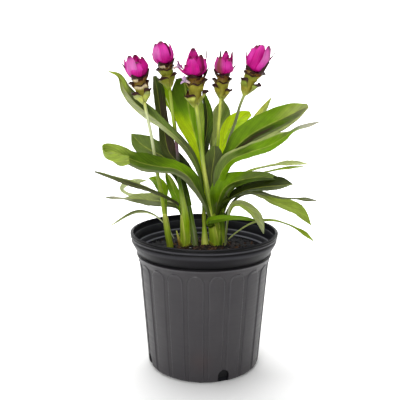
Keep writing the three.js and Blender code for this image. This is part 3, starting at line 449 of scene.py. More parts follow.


# Each leaf: the node that it replaces, its midrib and the way its upper side faces from foot to tip, its half
# widths spread evenly along it, and how it is coloured.
# A darker half of a folded leaf and the umber stripes along folds are painted shade; lime parts are painted
# glow of light coming through.
BLADES = {
    "blade_left_small": ("shoot_left", dict(
        mid=[[-66, 6, 252], [-69, 22, 283], [-76, 36, 306], [-87, 44, 317], [-99, 48, 321]],
        face=[[0.5, -0.8, 0.2], [0.3, -0.7, 0.6], [0.2, -0.7, 0.6]],
        widths=[2.6, 2.6, 2.8, 3.2, 4.5, 7, 10, 11, 10.5, 7.5, 0.8], left="straw fresh fresh bright",
        right="straw fresh bright bright", under="pale light")),
    "blade_left_dark": ("shoot_left_thick", dict(
        mid=[[-36, 10, 255], [-46, 6, 283], [-60, -4, 294], [-91, -20, 310], [-130, -38, 327],
             [-161, -50, 341], [-177, -56, 349]],
        face=[[-0.6, -0.2, 0.8], [0.1, -0.45, 0.9], [0.2, -0.5, 0.8]],
        widths=[3, 3.5, 4, 5, 6, 7, 7.5, 7.5, 7, 5.5, 1.2], fold=24,
        left="fresh deep slate ash ash ash ash", right="fresh fresh slate ash ash grey grey",
        under="ash ash", bands=[(0.9, 0.14, "pale", 0.45, 0.97)])),
    "blade_left_low": ("shoot_left_thick", dict(
        mid=[[-35, 15, 252], [-43, 28, 268], [-58, 42, 273], [-83, 56, 276], [-113, 68, 278],
             [-151, 78, 277], [-183, 84, 278]],
        face=[[-0.6, -0.6, 0.5], [0, -0.75, 0.65], [0, -0.9, 0.3]],
        widths=[3, 3, 4.5, 9, 14, 14, 11, 7, 2.2, 3.6, 0.8], left="shade shade slate grey grey dry grey",
        right="shade slate grey pale pale dry grey", under="slate grey pale dry")),
    "blade_left_short": ("shoot_left_thick", dict(
        mid=[[-36, 12, 256], [-45, 20, 284], [-53, 25, 303], [-61, 28, 320], [-68, 30, 334]],
        face=[[-0.3, -0.9, 0.2], [-0.2, -0.9, 0.3], [0, -0.9, 0.4]],
        widths=[3, 3, 4, 6, 8, 9, 9, 8, 7, 5, 0.6], left="stalk fresh fresh", right="stalk fresh straw",
        under="pale light")),
    "blade_left_curled": ("shoot_left_thick", dict(
        mid=[[-34, 15, 252], [-50, 40, 276], [-80, 60, 280], [-114, 74, 283], [-140, 80, 285],
             [-152, 82, 294], [-144, 80, 304], [-125, 77, 309], [-105, 75, 312]],
        face=[[0, -0.6, 0.8], [0, -0.8, 0.6], [0.3, -0.9, 0.2]],
        widths=[2.4, 2.4, 3, 5, 6, 5, 3, 3, 5, 5, 0.6], fold=8, left="grey pale mist mist",
        right="grey pale mist mist", under="grey pale mist")),
    "blade_tall_bright": ("shoot_left_thick", dict(
        mid=[[-35, 14, 252], [-41, 18, 312], [-48, 19, 372], [-52, 33, 421], [-64, 46, 453],
             [-76, 51, 475], [-88, 53, 494]],
        face=[[0.3, -0.9, 0], [0.4, -0.9, 0], [0.5, -0.8, 0.1]],
        widths=[2, 2, 2, 2, 2, 2, 2, 2, 2, 2.4, 3.5, 12, 10.5, 0.8], fold=10,
        left="stalk stalk olive olive stalk bright bright",
        right="stalk stalk olive olive olive bright bright", under="stalk light",
        bands=[(0.0, 0.08, "mist", 0.7, 1.0)])),
    "blade_left_broad_grey": ("shoot_grey", dict(
        mid=[[-27, 27, 275], [-38, 35, 306], [-50, 40, 332], [-71, 43, 358], [-96, 47, 371],
             [-113, 49, 382], [-129, 51, 399]],
        face=[[0.5, -0.8, 0.3], [0.2, -0.8, 0.5], [0, -0.8, 0.6]],
        widths=[5.5, 7, 8.5, 10, 13, 16, 19, 21, 22, 16, 0.8], left="deep shade shade slate moss moss",
        right="deep shade dusk shade moss moss", under="deep slate grey")),
    "blade_upper_left": ("shoot_slim", dict(
        mid=[[0, 13, 250], [-1, 18, 294], [-5, 17, 328], [-17, 12, 360], [-38, 6, 389], [-65, 4, 414],
             [-92, 4, 435], [-115, 4, 454], [-131, 0, 475], [-141, -8, 499], [-157, -14, 507]],
        face=[[-0.6, -0.8, 0.1], [-0.3, -0.7, 0.6], [0.3, -0.8, 0.4]],
        widths=[3.5, 3.5, 4, 6, 7.5, 8, 9, 13, 13, 8, 0.6], fold=26,
        left="stalk deep moss moss grey pale mist mist mist light light",
        right="stalk deep shade deep slate slate moss moss shade slate light light",
        under="slate pale light")),
    "blade_tall_grey": ("shoot_slim", dict(
        mid=[[0, 14, 254], [-3, 23, 291], [-18, 28, 320], [-39, 33, 345], [-62, 34, 369], [-70, 37, 402],
             [-77, 37, 440], [-82, 38, 475], [-87, 38, 499]],
        face=[[0.3, -0.9, 0.3], [0.3, -0.9, 0.4], [0.6, -0.8, 0.1]],
        widths=[3.5, 3.8, 5, 9.5, 13, 15, 14.5, 11, 12, 13.5, 4], fold=26,
        left="stalk deep shade shade slate slate slate slate grey",
        right="stalk shade dusk dusk umber umber umber shade grey")),
    "blade_broad_left": ("shoot_front", dict(
        mid=[[12, 13, 256], [2, 1, 283], [-12, -10, 311], [-28, -20, 336], [-49, -26, 349],
             [-73, -36, 354], [-97, -44, 360], [-117, -51, 368], [-135, -57, 378], [-150, -61, 382],
             [-159, -67, 380], [-153, -74, 373], [-134, -77, 369], [-118, -77, 371]],
        face=[[-0.6, -0.6, 0.6], [-0.2, -0.7, 0.7], [0, -0.7, 0.7], [0, -0.7, 0.7], [0, -0.75, 0.65],
              [0, -0.8, 0.6], [1, -0.1, 0.3], [0, 1, 0.2]],
        widths=[4, 5, 8.5, 14, 16, 17.5, 17, 13, 14, 14, 7],
        left="moss sage sage grey deep deep light pale pale",
        right="moss shade deep fresh deep deep light light light", under="grey slate moss moss light light",
        bands=[(-1.0, 0.36, "sage", 0.03, 0.72)])),
    "blade_tall_front": ("shoot_front", dict(
        mid=[[13, 17, 256], [5, 30, 289], [-1, 38, 320], [-6, 44, 351], [-15, 50, 389], [-26, 54, 430],
             [-31, 54, 461], [-38, 50, 497]],
        face=[[0, -1, 0.1], [-0.1, -1, 0.2], [-0.1, -0.9, 0.4]],
        widths=[4, 4, 4.5, 6, 8, 12, 19, 26, 28, 27, 13],
        left="stalk lime lime lime lime lime fresh deep deep",
        right="stalk light fresh deep fresh fresh fresh deep olive", under="stalk light",
        bands=[(-0.85, 0.5, "lime", 0.45, 0.74), (0.75, 0.25, "light", 0.6, 0.95)])),
    "blade_right_bright": ("shoot_front", dict(
        mid=[[17, 15, 258], [21, 6, 299], [23, 1, 323], [30, -4, 343], [44, -10, 361], [74, -18, 376],
             [106, -24, 388], [130, -28, 403], [150, -30, 417], [169, -32, 423], [185, -34, 429]],
        face=[[0.6, -0.8, 0.2], [-0.1, -0.6, 0.8], [-0.2, -0.7, 0.6]],
        widths=[4.5, 4.9, 6.3, 9.8, 13, 15.5, 16, 19, 18, 13, 3, 3.6, 0.8],
        left="slate grey grey moss moss deep fresh fresh moss dry dry",
        right="slate moss fresh fresh fresh fresh fresh fresh fresh dry dry", under="grey moss pale dry",
        bands=[(-0.92, 0.16, "pale", 0.38, 0.82)])),
    "blade_young_middle": ("shoot_front", dict(
        mid=[[16, 16, 262], [14, 17, 301], [12, 16, 329], [15, 15, 354], [17, 15, 371], [17, 17, 382]],
        face=[[0, -1, 0], [0, -1, 0.2], [0, -1, 0.3]], widths=[3, 3, 3, 4, 4.5, 6, 9, 14, 17, 14, 6],
        left="stalk slate slate moss", right="stalk deep slate slate")),
    "blade_right_upper": ("shoot_front", dict(
        mid=[[16, 14, 255], [25, 6, 292], [32, -2, 310], [46, -11, 323], [69, -22, 332], [95, -32, 337],
             [125, -42, 336]],
        face=[[0.5, -0.8, 0.3], [0.1, -0.75, 0.65], [0.1, -0.5, 0.9]],
        widths=[4, 8, 15, 20, 21, 19, 16, 13, 10.5, 7, 0.8], left="moss deep fresh fresh moss moss moss",
        right="slate shade deep shade deep shade shade", under="slate moss",
        bands=[(0.5, 0.16, "grey", 0.25, 0.5)])),
    "blade_right_dark": ("shoot_front", dict(
        mid=[[17, 13, 250], [29, 0, 283], [47, -14, 300], [69, -28, 314], [94, -42, 322], [119, -54, 327],
             [141, -64, 332]],
        face=[[0.5, -0.7, 0.4], [0.1, -0.5, 0.9], [0.1, -0.5, 0.9]],
        widths=[3.5, 3.5, 4.5, 7, 12, 17, 20, 21, 20, 15, 0.8],
        left="slate shade dusk dusk dusk dusk slate", right="slate dusk shade shade shade slate moss")),
    "blade_foot_right": ("shoot_front", dict(
        mid=[[16, 14, 240], [10, -2, 254], [20, -10, 258], [40, -18, 263], [60, -24, 265], [85, -30, 264]],
        face=[[-0.3, -0.9, 0.3], [0, -0.6, 0.8], [0, -0.5, 0.9]],
        widths=[5, 6, 7.5, 8, 8, 7.5, 7, 6, 4.5, 3, 0.6], left="deep fresh fresh deep",
        right="deep deep fresh deep", under="deep light")),
    "blade_large_right": ("shoot_right", dict(
        mid=[[31, 30, 262], [30, 29, 322], [36, 26, 354], [52, 20, 378], [77, 12, 402], [105, 4, 419],
             [134, -4, 434], [154, -9, 445], [169, -13, 453]],
        face=[[0.3, -0.9, 0.1], [-0.35, -0.9, 0.3], [-0.3, -0.9, 0.35]],
        widths=[4, 4, 4, 5.5, 12, 20.5, 23, 24, 22, 17, 4],
        left="stalk shade deep deep fresh fresh fresh light pale",
        right="stalk shade dusk dusk shade shade deep grey pale",
        bands=[(0.85, 0.12, "pale", 0.45, 0.97), (0.35, 0.12, "umber", 0.3, 0.75),
               (0.62, 0.08, "grey", 0.4, 0.9)])),
    "blade_ribbon_right": ("shoot_right", dict(
        mid=[[31, 31, 262], [49, 48, 311], [78, 62, 330], [111, 74, 338], [152, 84, 342], [191, 92, 341]],
        face=[[0, -0.5, 0.8], [0, -0.3, 1], [0, -0.3, 1]],
        widths=[2, 2, 2, 2.5, 3.5, 4, 4.5, 6, 8.5, 6, 0.6], left="deep deep stalk pale pale mist",
        right="deep deep stalk light pale mist", under="grey pale dry")),
    "blade_ribbon_thin": ("shoot_right", dict(
        mid=[[31, 31, 258], [56, 46, 308], [92, 58, 325], [135, 70, 334], [180, 82, 338]],
        face=[[0, -0.5, 0.8], [0, -0.3, 1], [0, -0.3, 1]], widths=[2, 2, 2, 2, 3, 4, 4, 4, 3.5, 2.5, 0.6],
        left="deep stalk stalk stalk", right="deep stalk light stalk", under="grey pale")),
    "blade_grey_thread": ("shoot_right", dict(
        mid=[[31, 31, 250], [45, 38, 286], [72, 44, 296], [99, 48, 294], [136, 52, 285], [168, 56, 283],
             [203, 60, 279]],
        face=[[0, -0.6, 0.7], [0, -0.3, 1], [0, -0.9, 0.4]],
        widths=[2, 3, 6, 8.5, 8.5, 6, 4.5, 3, 1.4, 3.6, 0.8], left="slate shade shade slate slate grey dry",
        right="slate slate slate grey grey grey dry", under="slate grey dry")),
    "blade_hanging_right": ("shoot_right", dict(
        mid=[[32, 32, 246], [57, 46, 284], [82, 56, 293], [104, 62, 287], [123, 66, 277], [147, 70, 267],
             [170, 74, 257], [198, 80, 229]],
        face=[[0, -0.6, 0.8], [0, -0.6, 0.8], [0.3, -0.6, 0.8]],
        widths=[3, 3, 3, 4, 6.5, 10, 14, 16.5, 15.5, 10.5, 0.8], left="deep slate grey light light light",
        right="deep slate pale light light stalk", under="grey pale light")),
    "blade_slim_back": ("shoot_back", dict(
        mid=[[22, 47, 255], [10, 48, 300], [3, 52, 344], [0, 57, 379], [4, 62, 409], [4, 64, 437],
             [-5, 64, 478]],
        face=[[-0.3, -0.9, 0], [0.3, -0.9, 0.1], [0.5, -0.85, 0.2]],
        widths=[3, 3, 3, 3, 4, 6, 8.5, 10, 10, 7, 0.6], left="stalk shade dusk dusk deep",
        right="stalk dusk dusk deep fresh")),
    "blade_pale_back": ("shoot_back", dict(
        mid=[[23, 48, 262], [15, 72, 314], [14, 95, 356], [21, 112, 391], [30, 122, 424], [33, 126, 457]],
        face=[[0, -0.8, 0.5], [0, -0.9, 0.3], [0, -1, 0.2]],
        widths=[3, 3, 3, 3, 3.5, 5, 9, 16, 20, 16, 0.8], left="shade shade dusk slate pale pale pale",
        right="shade shade dusk slate pale moss pale", under="grey pale",
        bands=[(-0.9, 0.1, "mist", 0.6, 1.0)])),
    "blade_lime_back": ("shoot_back", dict(
        mid=[[24, 48, 258], [25, 66, 315], [28, 78, 350], [33, 88, 376], [42, 97, 398], [57, 103, 416],
             [70, 106, 425], [84, 108, 431]],
        face=[[0, -0.8, 0.5], [-0.3, -0.8, 0.4], [-0.3, -0.9, 0.3]],
        widths=[3, 3, 3, 3.5, 4, 5.5, 9, 13, 16, 14, 5], left="shade bright lime lime lime",
        right="shade bright lime bright lime", under="light lime")),
    "blade_pale_tip": ("shoot_back", dict(
        mid=[[24, 49, 262], [39, 74, 323], [65, 98, 375], [87, 112, 406], [104, 120, 430], [123, 124, 460]],
        face=[[0, -0.7, 0.6], [-0.4, -0.8, 0.4], [-0.4, -0.9, 0.3]],
        widths=[2, 2, 2, 2.5, 3, 4, 5, 7, 9, 6, 0.6], left="deep stalk straw straw",
        right="deep stalk light pale", under="pale straw")),
    "blade_drooping_right": ("leaf_drooping_right", dict(
        mid=[[36, 12, 184], [37, 12, 207], [42, 12, 261], [49, 11, 280], [61, 9, 283], [75, 6, 277],
             [87, 2, 267], [95, -2, 254], [102, -8, 235]],
        face=[[0, -0.9, 0.2], [0, -0.7, 0.7], [0.5, -0.7, 0.5]],
        widths=[2.2, 2.2, 2.2, 2.2, 2.4, 4, 7.5, 9.5, 9, 6.5, 0.8], left="pale grey mist pale pale mist",
        right="pale grey light light pale mist", under="grey pale light")),
    "blade_low_right": ("leaf_low_right", dict(
        mid=[[35, 50, 184], [42, 50, 205], [65, 50, 226], [91, 44, 242], [124, 36, 247], [160, 38, 235],
             [197, 42, 209]],
        face=[[0, -0.8, 0.5], [0, -0.5, 0.9], [0.3, -0.5, 0.8]],
        widths=[1.6, 1.4, 1.4, 1.6, 2.2, 4, 4, 2.6, 2.4, 5, 0.8],
        left="dry pale pale light light stalk light", right="dry pale pale light moss stalk light",
        under="dry pale light")),
    "blade_arching_left": ("leaf_arching_left", dict(
        mid=[[-48, 66, 184], [-56, 70, 205], [-73, 76, 230], [-98, 80, 248], [-126, 76, 252],
             [-169, 60, 231]],
        face=[[0, -0.8, 0.5], [0, -0.6, 0.8], [-0.3, -0.8, 0.5]],
        widths=[1.6, 1.4, 1.4, 1.6, 2, 2.4, 2.8, 3.4, 3.6, 2.8, 0.6], left="dry mist mist grey pale",
        right="dry grey grey grey pale", under="dry pale")),
}
for number, (name, (node, form)) in enumerate(BLADES.items()):
    piece(name, [blade(300 + number, **form)], leaf_blade, node)


# Stems, in mm

RING_STEP = 4  # from one ring of a stem to the next
RING_LIMITS = (24, 120)
STEM_COLUMNS = 40


def ring_frame(along):
    """Two directions across a stem: one level, to the side, and one square to it, to the front."""
    side = unit(np.cross(np.array([0.0, -1.0, 0.0]), along))
    return side, np.cross(along, side)


def stem(seed, path, radii, tones):
    """A stem along its path: rings of the eased radii, slightly three-sided, with fine ribs along it. Its
    tones are spread evenly from foot to top, and lighter and darker sheath edges run along it."""
    length, at = path_through(path)
    rows = int(np.clip(length / (RING_STEP * MM), *RING_LIMITS))
    t = np.linspace(0, 1, rows)[:, None]
    place, along = at(t)
    side, front = ring_frame(along)
    phase = np.random.default_rng(seed).uniform(0, TURN, 4)
    a = np.arange(STEM_COLUMNS)[None] * TURN / STEM_COLUMNS
    r = eased(radii, t) * MM
    shape = 1 + 0.035 * np.sin(3 * a + phase[0] + 2 * t) + 0.012 * np.sin(11 * a + phase[1])
    rings = place + (r * shape)[..., None] * toward(side, front, a)
    stripe = 0.5 + 0.5 * np.sin(2 * a + phase[2] + 1.5 * t) * np.sin(5 * a + phase[3])
    colour = shades(tones, t + 0 * a) * (1 + 0.3 * (stripe - 0.5)[..., None] * [1, 0.9, 0.8, 0])
    return rings, colour, polar(r, a, t * length * 0.05)


SHEATH_ROWS = 40
SHEATH_COLUMNS = 36
SHEATH_FOOT = 0.02  # share of the stem's length at which a sheath starts
SHEATH_THICKNESS = 0.55


def sheath(path, radii, high, proud, turn, opening, tones, seed):
    """A leaf sheath wrapped round a stem: a thin shell a little proud of it from its foot to a share of its
    length, open down one side, with a slanting upper edge that is highest opposite the opening."""
    length, at = path_through(path)
    v = np.linspace(0, 1, SHEATH_ROWS)[:, None]
    x = np.linspace(-1, 1, SHEATH_COLUMNS)[None]
    top = high - (high - SHEATH_FOOT) * (0.55 * x ** 4 + 0.12 * x * x)
    t = SHEATH_FOOT + (top - SHEATH_FOOT) * v
    place, along = at(t)
    side, front = ring_frame(along)
    a = turn + (np.pi - opening / 2) * x + 0.25 * v
    out = toward(side, front, a)
    r = eased(radii, t) * MM
    wave = np.sin(5 * a + np.random.default_rng(seed).uniform(0, TURN))
    step = proud * MM * (0.55 + 0.45 * v) + 0.25 * MM * wave * v
    thin = SHEATH_THICKNESS * MM * (1 - 0.5 * v ** 3)
    outer = place + out * (r + step + thin)[..., None]
    inner = place + out * (r + step)[..., None]
    colour = shades(tones, v + 0 * x) * (1 + 0.14 * np.sin(9 * a + 3 * v)[..., None] * [1, 1, 1, 0])
    vein = polar(r, a, t * length * 0.05)
    return both_faces(outer, inner), both_faces(colour, colour), both_faces(vein, vein)


STEMS = {
    "stem_left": ("shoot_left", dict(
        path=[[-57, 8, 184], [-59, 8, 205], [-63, 7, 229], [-68, 4, 266], [-72, 0, 295], [-78, -6, 330],
              [-83, -13, 369], [-89, -20, 410], [-94, -26, 438], [-98, -30, 460]],
        radii=[5.4, 5, 4.5, 3.9, 3.3, 2.8, 2.6, 2.6, 2.6],
        tones="olive stalk light stalk stalk light pale mist mist straw")),
    "stem_left_thick": ("shoot_left_thick", dict(
        path=[[-31, 8, 184], [-32, 9, 205], [-33, 10, 236], [-34, 11, 264], [-39, 13, 298], [-44, 14, 327],
              [-47, 15, 377], [-54, 14, 433], [-59, 12, 480]],
        radii=[8.6, 8.4, 7.6, 5.2, 3.6, 3, 2.8, 2.7, 2.7, 2.7],
        tones="olive stalk bright light deep shade plum stalk light stalk")),
    "stem_grey": ("shoot_grey", dict(
        path=[[-13, 2, 184], [-15, 4, 206], [-18, 9, 233], [-22, 18, 252], [-27, 27, 275], [-32, 31, 291]],
        radii=[5, 4.8, 4.4, 3.6], tones="grey grey deep shade")),
    "stem_slim": ("shoot_slim", dict(
        path=[[2, 7, 184], [2, 8, 206], [1, 10, 233], [0, 13, 250], [-1, 16, 268]],
        radii=[6.4, 5.6, 3.4, 3.2], tones="straw straw stalk olive")),
    "stem_front": ("shoot_front", dict(
        path=[[22, 17, 184], [21, 18, 207], [18, 17, 234], [14, 15, 264], [6, 11, 305], [-1, 8, 346],
              [-9, 2, 414], [-15, -4, 456]],
        radii=[10.4, 10, 8.4, 5.4, 3.8, 3.5, 3.4, 3.3, 3.4],
        tones="olive stalk stalk stalk light straw light stalk light straw")),
    "stem_right": ("shoot_right", dict(
        path=[[33, 29, 184], [33, 30, 206], [32, 31, 240], [29, 31, 276], [31, 30, 321], [34, 29, 357],
              [42, 27, 393], [52, 24, 423], [59, 20, 450], [66, 17, 469]],
        radii=[5.2, 4.8, 4.6, 4, 3.2, 2.6, 2.4, 2.4, 2.6],
        tones="pale stalk deep deep deep olive plum grey grey pale")),
    "stem_back": ("shoot_back", dict(
        path=[[22, 46, 184], [22, 46, 209], [23, 47, 242], [23, 48, 282], [21, 47, 336], [23, 44, 384],
              [24, 42, 411], [27, 38, 463]],
        radii=[5.6, 5.2, 4.8, 3.8, 3, 2.7, 2.6, 2.6],
        tones="deep deep deep shade stalk stalk straw straw")),
    "stem_sprout": ("sprout", dict(
        path=[[-40, 20, 184], [-42, 22, 205], [-45, 25, 216], [-49, 27, 230]], radii=[3.6, 3.2, 1],
        tones="blush husk straw")),
}
# Sheaths: the stem that each wraps, to which share of its length, how proud, which way round, its opening.
SHEATHS = [
    ("stem_left", 0.3, 0.2, 1.2, 1.0, "olive stalk straw"),
    ("stem_left_thick", 0.34, 0.3, -1.2, 1.1, "stalk stalk straw"),
    ("stem_left_thick", 0.2, 0.9, -2.0, 2.0, "blush olive stalk"),
    ("stem_front", 0.4, 0.3, -0.8, 1.0, "deep stalk straw"),
    ("stem_front", 0.2, 1.0, -2.4, 1.9, "blush deep stalk"),
    ("stem_right", 0.22, 0.3, -1.0, 1.2, "husk pale stalk"),
    ("stem_slim", 0.7, 0.3, -1.6, 1.4, "straw straw stalk"),
    ("stem_grey", 0.6, 0.3, -1.2, 1.2, "grey grey deep"),
]
# Brown scales at the foot of each shoot: the oldest sheaths, dried and torn short.
SCALES = [
    ("stem_left", 0.1, 1.1, -1.9, 2.4),
    ("stem_left_thick", 0.12, 1.7, -0.6, 2.6),
    ("stem_left_thick", 0.1, 1.9, 2.4, 2.8),
    ("stem_front", 0.12, 1.7, -0.2, 2.6),
    ("stem_front", 0.1, 1.9, -2.6, 2.8),
    ("stem_slim", 0.34, 1.0, -2.2, 2.6),
    ("stem_grey", 0.26, 1.0, -0.6, 2.8),
    ("stem_right", 0.1, 1.0, -0.4, 2.6),
    ("stem_back", 0.1, 1.0, -1.2, 2.2),
]
for number, (name, (node, form)) in enumerate(STEMS.items()):
    parts = [stem(400 + number, **form)]
    parts += [sheath(form["path"], form["radii"], *shape, tones, 500 + k)
              for k, (wrapped, *shape, tones) in enumerate(SHEATHS) if wrapped == name]
    parts += [sheath(form["path"], form["radii"], *shape, "bark umber olive", 600 + k)
              for k, (wrapped, *shape) in enumerate(SCALES) if wrapped == name]
    piece(name, parts, leaf_sheath, node)


# Flower heads, in mm

def head_axis(foot, up, size):
    """A head's own directions: up its axis, level to the side and square to both, to the front."""
    up = unit(np.asarray(up, float))
    side, front = ring_frame(up)
    return dict(foot=np.asarray(foot, float) * MM, up=up, side=side, front=front, size=size)


SCALE_ROWS = 30
SCALE_COLUMNS = 17
CORE_SIDES = 24
TIP_FADE = 0.16  # share of the length over which a tip darkens


def scale_leaf(axis, degrees, profile, spans, thickness, cup, tones, inside, tip, tip_from, seed, rim=-0.1,
               wave=0.07, heart=None):
    """A bract or petal round a head's axis: a strip that follows the profile of radius and height, as wide as
    the spans say, cupped towards the axis as the 1.6th power of the way out, with a rippled margin. The cup
    is spread evenly from foot to tip. Its tip darkens from a share of its length on, and by the rim sooner at
    the margins. A heart tone tints a bell curve over its width."""
    v = np.linspace(0, 1, SCALE_ROWS)[:, None]
    u = np.linspace(-1, 1, SCALE_COLUMNS)[None]
    k = axis["size"] * MM
    turn = np.radians(degrees)
    path = eased(profile, v[:, 0]) * k
    run = unit(np.gradient(path, axis=0))
    out = axis["side"] * np.cos(turn) + axis["front"] * np.sin(turn)
    across = axis["side"] * np.sin(turn) - axis["front"] * np.cos(turn)
    normal = (axis["up"] * run[:, :1] - out * run[:, 1:])[:, None]
    w = eased(spans, v) * k
    phase = np.random.default_rng(seed).uniform(0, TURN, 3)
    ripple = wave * w * u ** 3 * np.sin(TURN * 1.6 * v + phase[0])
    pleat = 0.12 * MM * np.sin(9 * u + phase[1]) * smooth(0, 0.3, v)
    curve = eased(cup, v) * w * np.abs(u) ** 1.6 + ripple + pleat
    bow = np.sqrt(np.clip(1 - (0.35 * u) ** 2, 0, 1))
    middle = (axis["foot"] + axis["up"] * path[:, 1:] + out * path[:, :1])[:, None]
    middle = middle + across * (w * u * bow)[..., None] + normal * curve[..., None]
    half = normal * (thickness * MM * (1 - 0.45 * np.abs(u)) / 2)[..., None]
    fleck = 1 + 0.1 * np.sin(6 * u + phase[2]) * np.sin(5 * v + phase[0]) + 0.06 * np.sin(23 * u + phase[1])
    outer = shades(tones, v + 0 * u) * fleck[..., None] ** [1, 1, 1, 0]
    inner = shades(inside, v + 0 * u)
    if heart:
        outer = mix(outer, linear(TONES[heart]), 0.85 * np.exp(-(u / 0.5) ** 2) * smooth(0.1, 0.35, v))
    if tip:
        dark = smooth(tip_from, min(0.99, tip_from + TIP_FADE), v + rim * np.abs(u) ** 3)
        outer, inner = (mix(face, linear(TONES[tip]), dark) for face in (outer, inner))
    vein = np.stack(np.broadcast_arrays(w * u, 0.01 * turn, v * 0.003), -1)
    return both_faces(middle + half, middle - half), both_faces(inner, outer), both_faces(vein, vein)


def head_core(axis, profile, tones):
    """The solid middle of a head: rings of the profile's radius at its height."""
    v = np.linspace(0, 1, CORE_SIDES)[:, None]
    path = eased(profile, v[:, 0])[:, None] * axis["size"] * MM
    a = np.arange(CORE_SIDES)[None] * TURN / CORE_SIDES
    rings = axis["foot"] + axis["up"] * path[..., 1:] + toward(axis["side"], axis["front"], a) * path[..., :1]
    return rings, shades(tones, v + 0 * a), rings * [1, 1, 0.2]


# Heads, round which bracts and petals stand at an angle in degrees from the viewer's left, with 90 in front.
# A bract has the radius and height of its tip; a petal those of its middle and tip, its width and its paint.
HEADS = {
    "left": dict(
        foot=[-98, -30, 460], up=[-0.2, -0.1, 1], size=0.96,
        bracts=[(40, 21, 16.6), (150, 20, 19), (275, 20, 18), (350, 20, 33), (215, 19, 31), (95, 17, 28)],
        calyx=[(60, 18.2, 48), (165, 21.5, 52), (285, 17.5, 46)], calyx_paint="cream cream blush",
        low_paint="pale straw pale straw pouch", high_paint="pouch_green pouch cream pouch",
        petals=[(60, 19, 57, 14, 78.5, 1.15, "soft"), (265, 15, 58, 9, 77, 1, "pink"),
                (100, 19, 54, 13, 66, 1.25, "pink"), (155, 20, 56, 16, 71, 1, "deep"),
                (10, 19.5, 60, 17, 74, 0.9, "pink"), (215, 19, 57, 15, 72, 1, "deep"),
                (325, 17, 57, 13, 74, 1, "soft"), (25, 17, 52, 24, 69.5, 0.3, "pink")]),
    "left_middle": dict(
        foot=[-59, 12, 480], up=[-0.19, -0.05, 1], size=0.97,
        bracts=[(50, 21, 19), (165, 18, 22), (285, 19, 19), (5, 18, 34), (100, 16, 31), (195, 16, 36)],
        calyx=[(60, 18, 46), (175, 18.8, 49), (290, 17, 46)], calyx_paint="cream cream rust",
        low_paint="stalk pouch_green olive pouch_green pouch",
        high_paint="pouch_green olive pouch_green pouch",
        petals=[(40, 18.5, 58, 12.5, 77, 1.1, "soft"), (90, 18, 57, 8, 79.5, 1.2, "pink"),
                (135, 15, 57, 10, 76, 0.9, "wine"), (172, 18, 56, 15, 73, 0.9, "pink"),
                (230, 17, 57, 12, 74, 1, "deep"), (300, 17, 57, 10, 77, 1, "pink"),
                (0, 18, 52, 18.5, 62, 0.8, "deep")]),
    "middle": dict(
        foot=[-15, -4, 456], up=[-0.05, -0.1, 1], size=1.08,
        bracts=[(45, 22, 13.5), (170, 21, 17.5), (290, 20, 16), (355, 18.5, 34.5), (105, 18, 29.5),
                (195, 21, 34)],
        calyx=[(75, 17.5, 45), (180, 22, 52), (290, 16.5, 46)], calyx_paint="pouch husk rust",
        low_paint="straw pouch_green straw pouch pouch", high_paint="pouch_green pouch pouch husk",
        petals=[(275, 12, 60, 4, 82, 1.0, "soft"), (140, 17, 56, 15, 73, 1, "dusky"),
                (20, 18, 47, 25.5, 55, 0.75, "deep"), (50, 16, 48, 20, 60, 0.8, "deep"),
                (80, 19, 53, 14, 68, 1.15, "vivid"), (180, 19.5, 54, 17, 66, 0.9, "pink"),
                (185, 18.5, 62, 20.5, 79, 0.3, "wine"), (0, 17, 52, 28, 67.6, 0.3, "deep")]),
    "right_middle": dict(
        foot=[27, 38, 463], up=[0.09, -0.06, 1], size=0.97,
        bracts=[(160, 20.5, 15.5), (20, 19, 21), (280, 19, 18), (350, 19.5, 31), (200, 18.5, 34),
                (95, 17, 27)],
        calyx=[(15, 18.5, 49), (130, 16.5, 44), (250, 16.5, 46)], calyx_paint="pouch husk rust",
        low_paint="stalk pouch lemon pouch pouch", high_paint="pouch pouch pouch tan",
        petals=[(58, 18, 55, 15, 71, 1.2, "russet"), (260, 14, 60, 9, 81, 0.8, "soft"),
                (125, 18, 53, 13, 68, 1.1, "pink"), (215, 17, 58, 15.5, 80, 0.55, "wine"),
                (175, 16, 50, 21, 59.5, 0.5, "wine"), (345, 16, 57, 14, 70, 0.9, "pink"),
                (310, 13, 62, 13, 80, 0.3, "wine"), (200, 10, 58, 7, 74, 0.9, "pink")]),
    "right": dict(
        foot=[66, 17, 469], up=[0.32, -0.06, 1], size=1.04,
        bracts=[(165, 22, 22), (30, 17.5, 24.5), (275, 19, 20), (185, 22.5, 41), (350, 14, 36),
                (95, 15, 33)],
        calyx=[(40, 16.5, 46), (150, 23.5, 62), (270, 16, 46)], calyx_paint="cream tan rust",
        low_paint="stalk pouch_green light pouch_green pouch",
        high_paint="pouch_green pouch pouch_green tan",
        petals=[(55, 15, 58, 11, 80, 1.15, "pink"), (98, 17, 58, 14, 83, 1.1, "vivid"),
                (142, 21, 62, 15.5, 85, 1.15, "soft"), (270, 16, 58, 12, 82, 1, "pink"),
                (345, 14.5, 55, 13, 74, 0.9, "deep"), (195, 21, 62, 17, 82, 0.9, "pink"),
                (10, 16, 54, 20.5, 67, 0.36, "deep"), (180, 20, 62, 25, 78, 0.3, "wine")]),
}
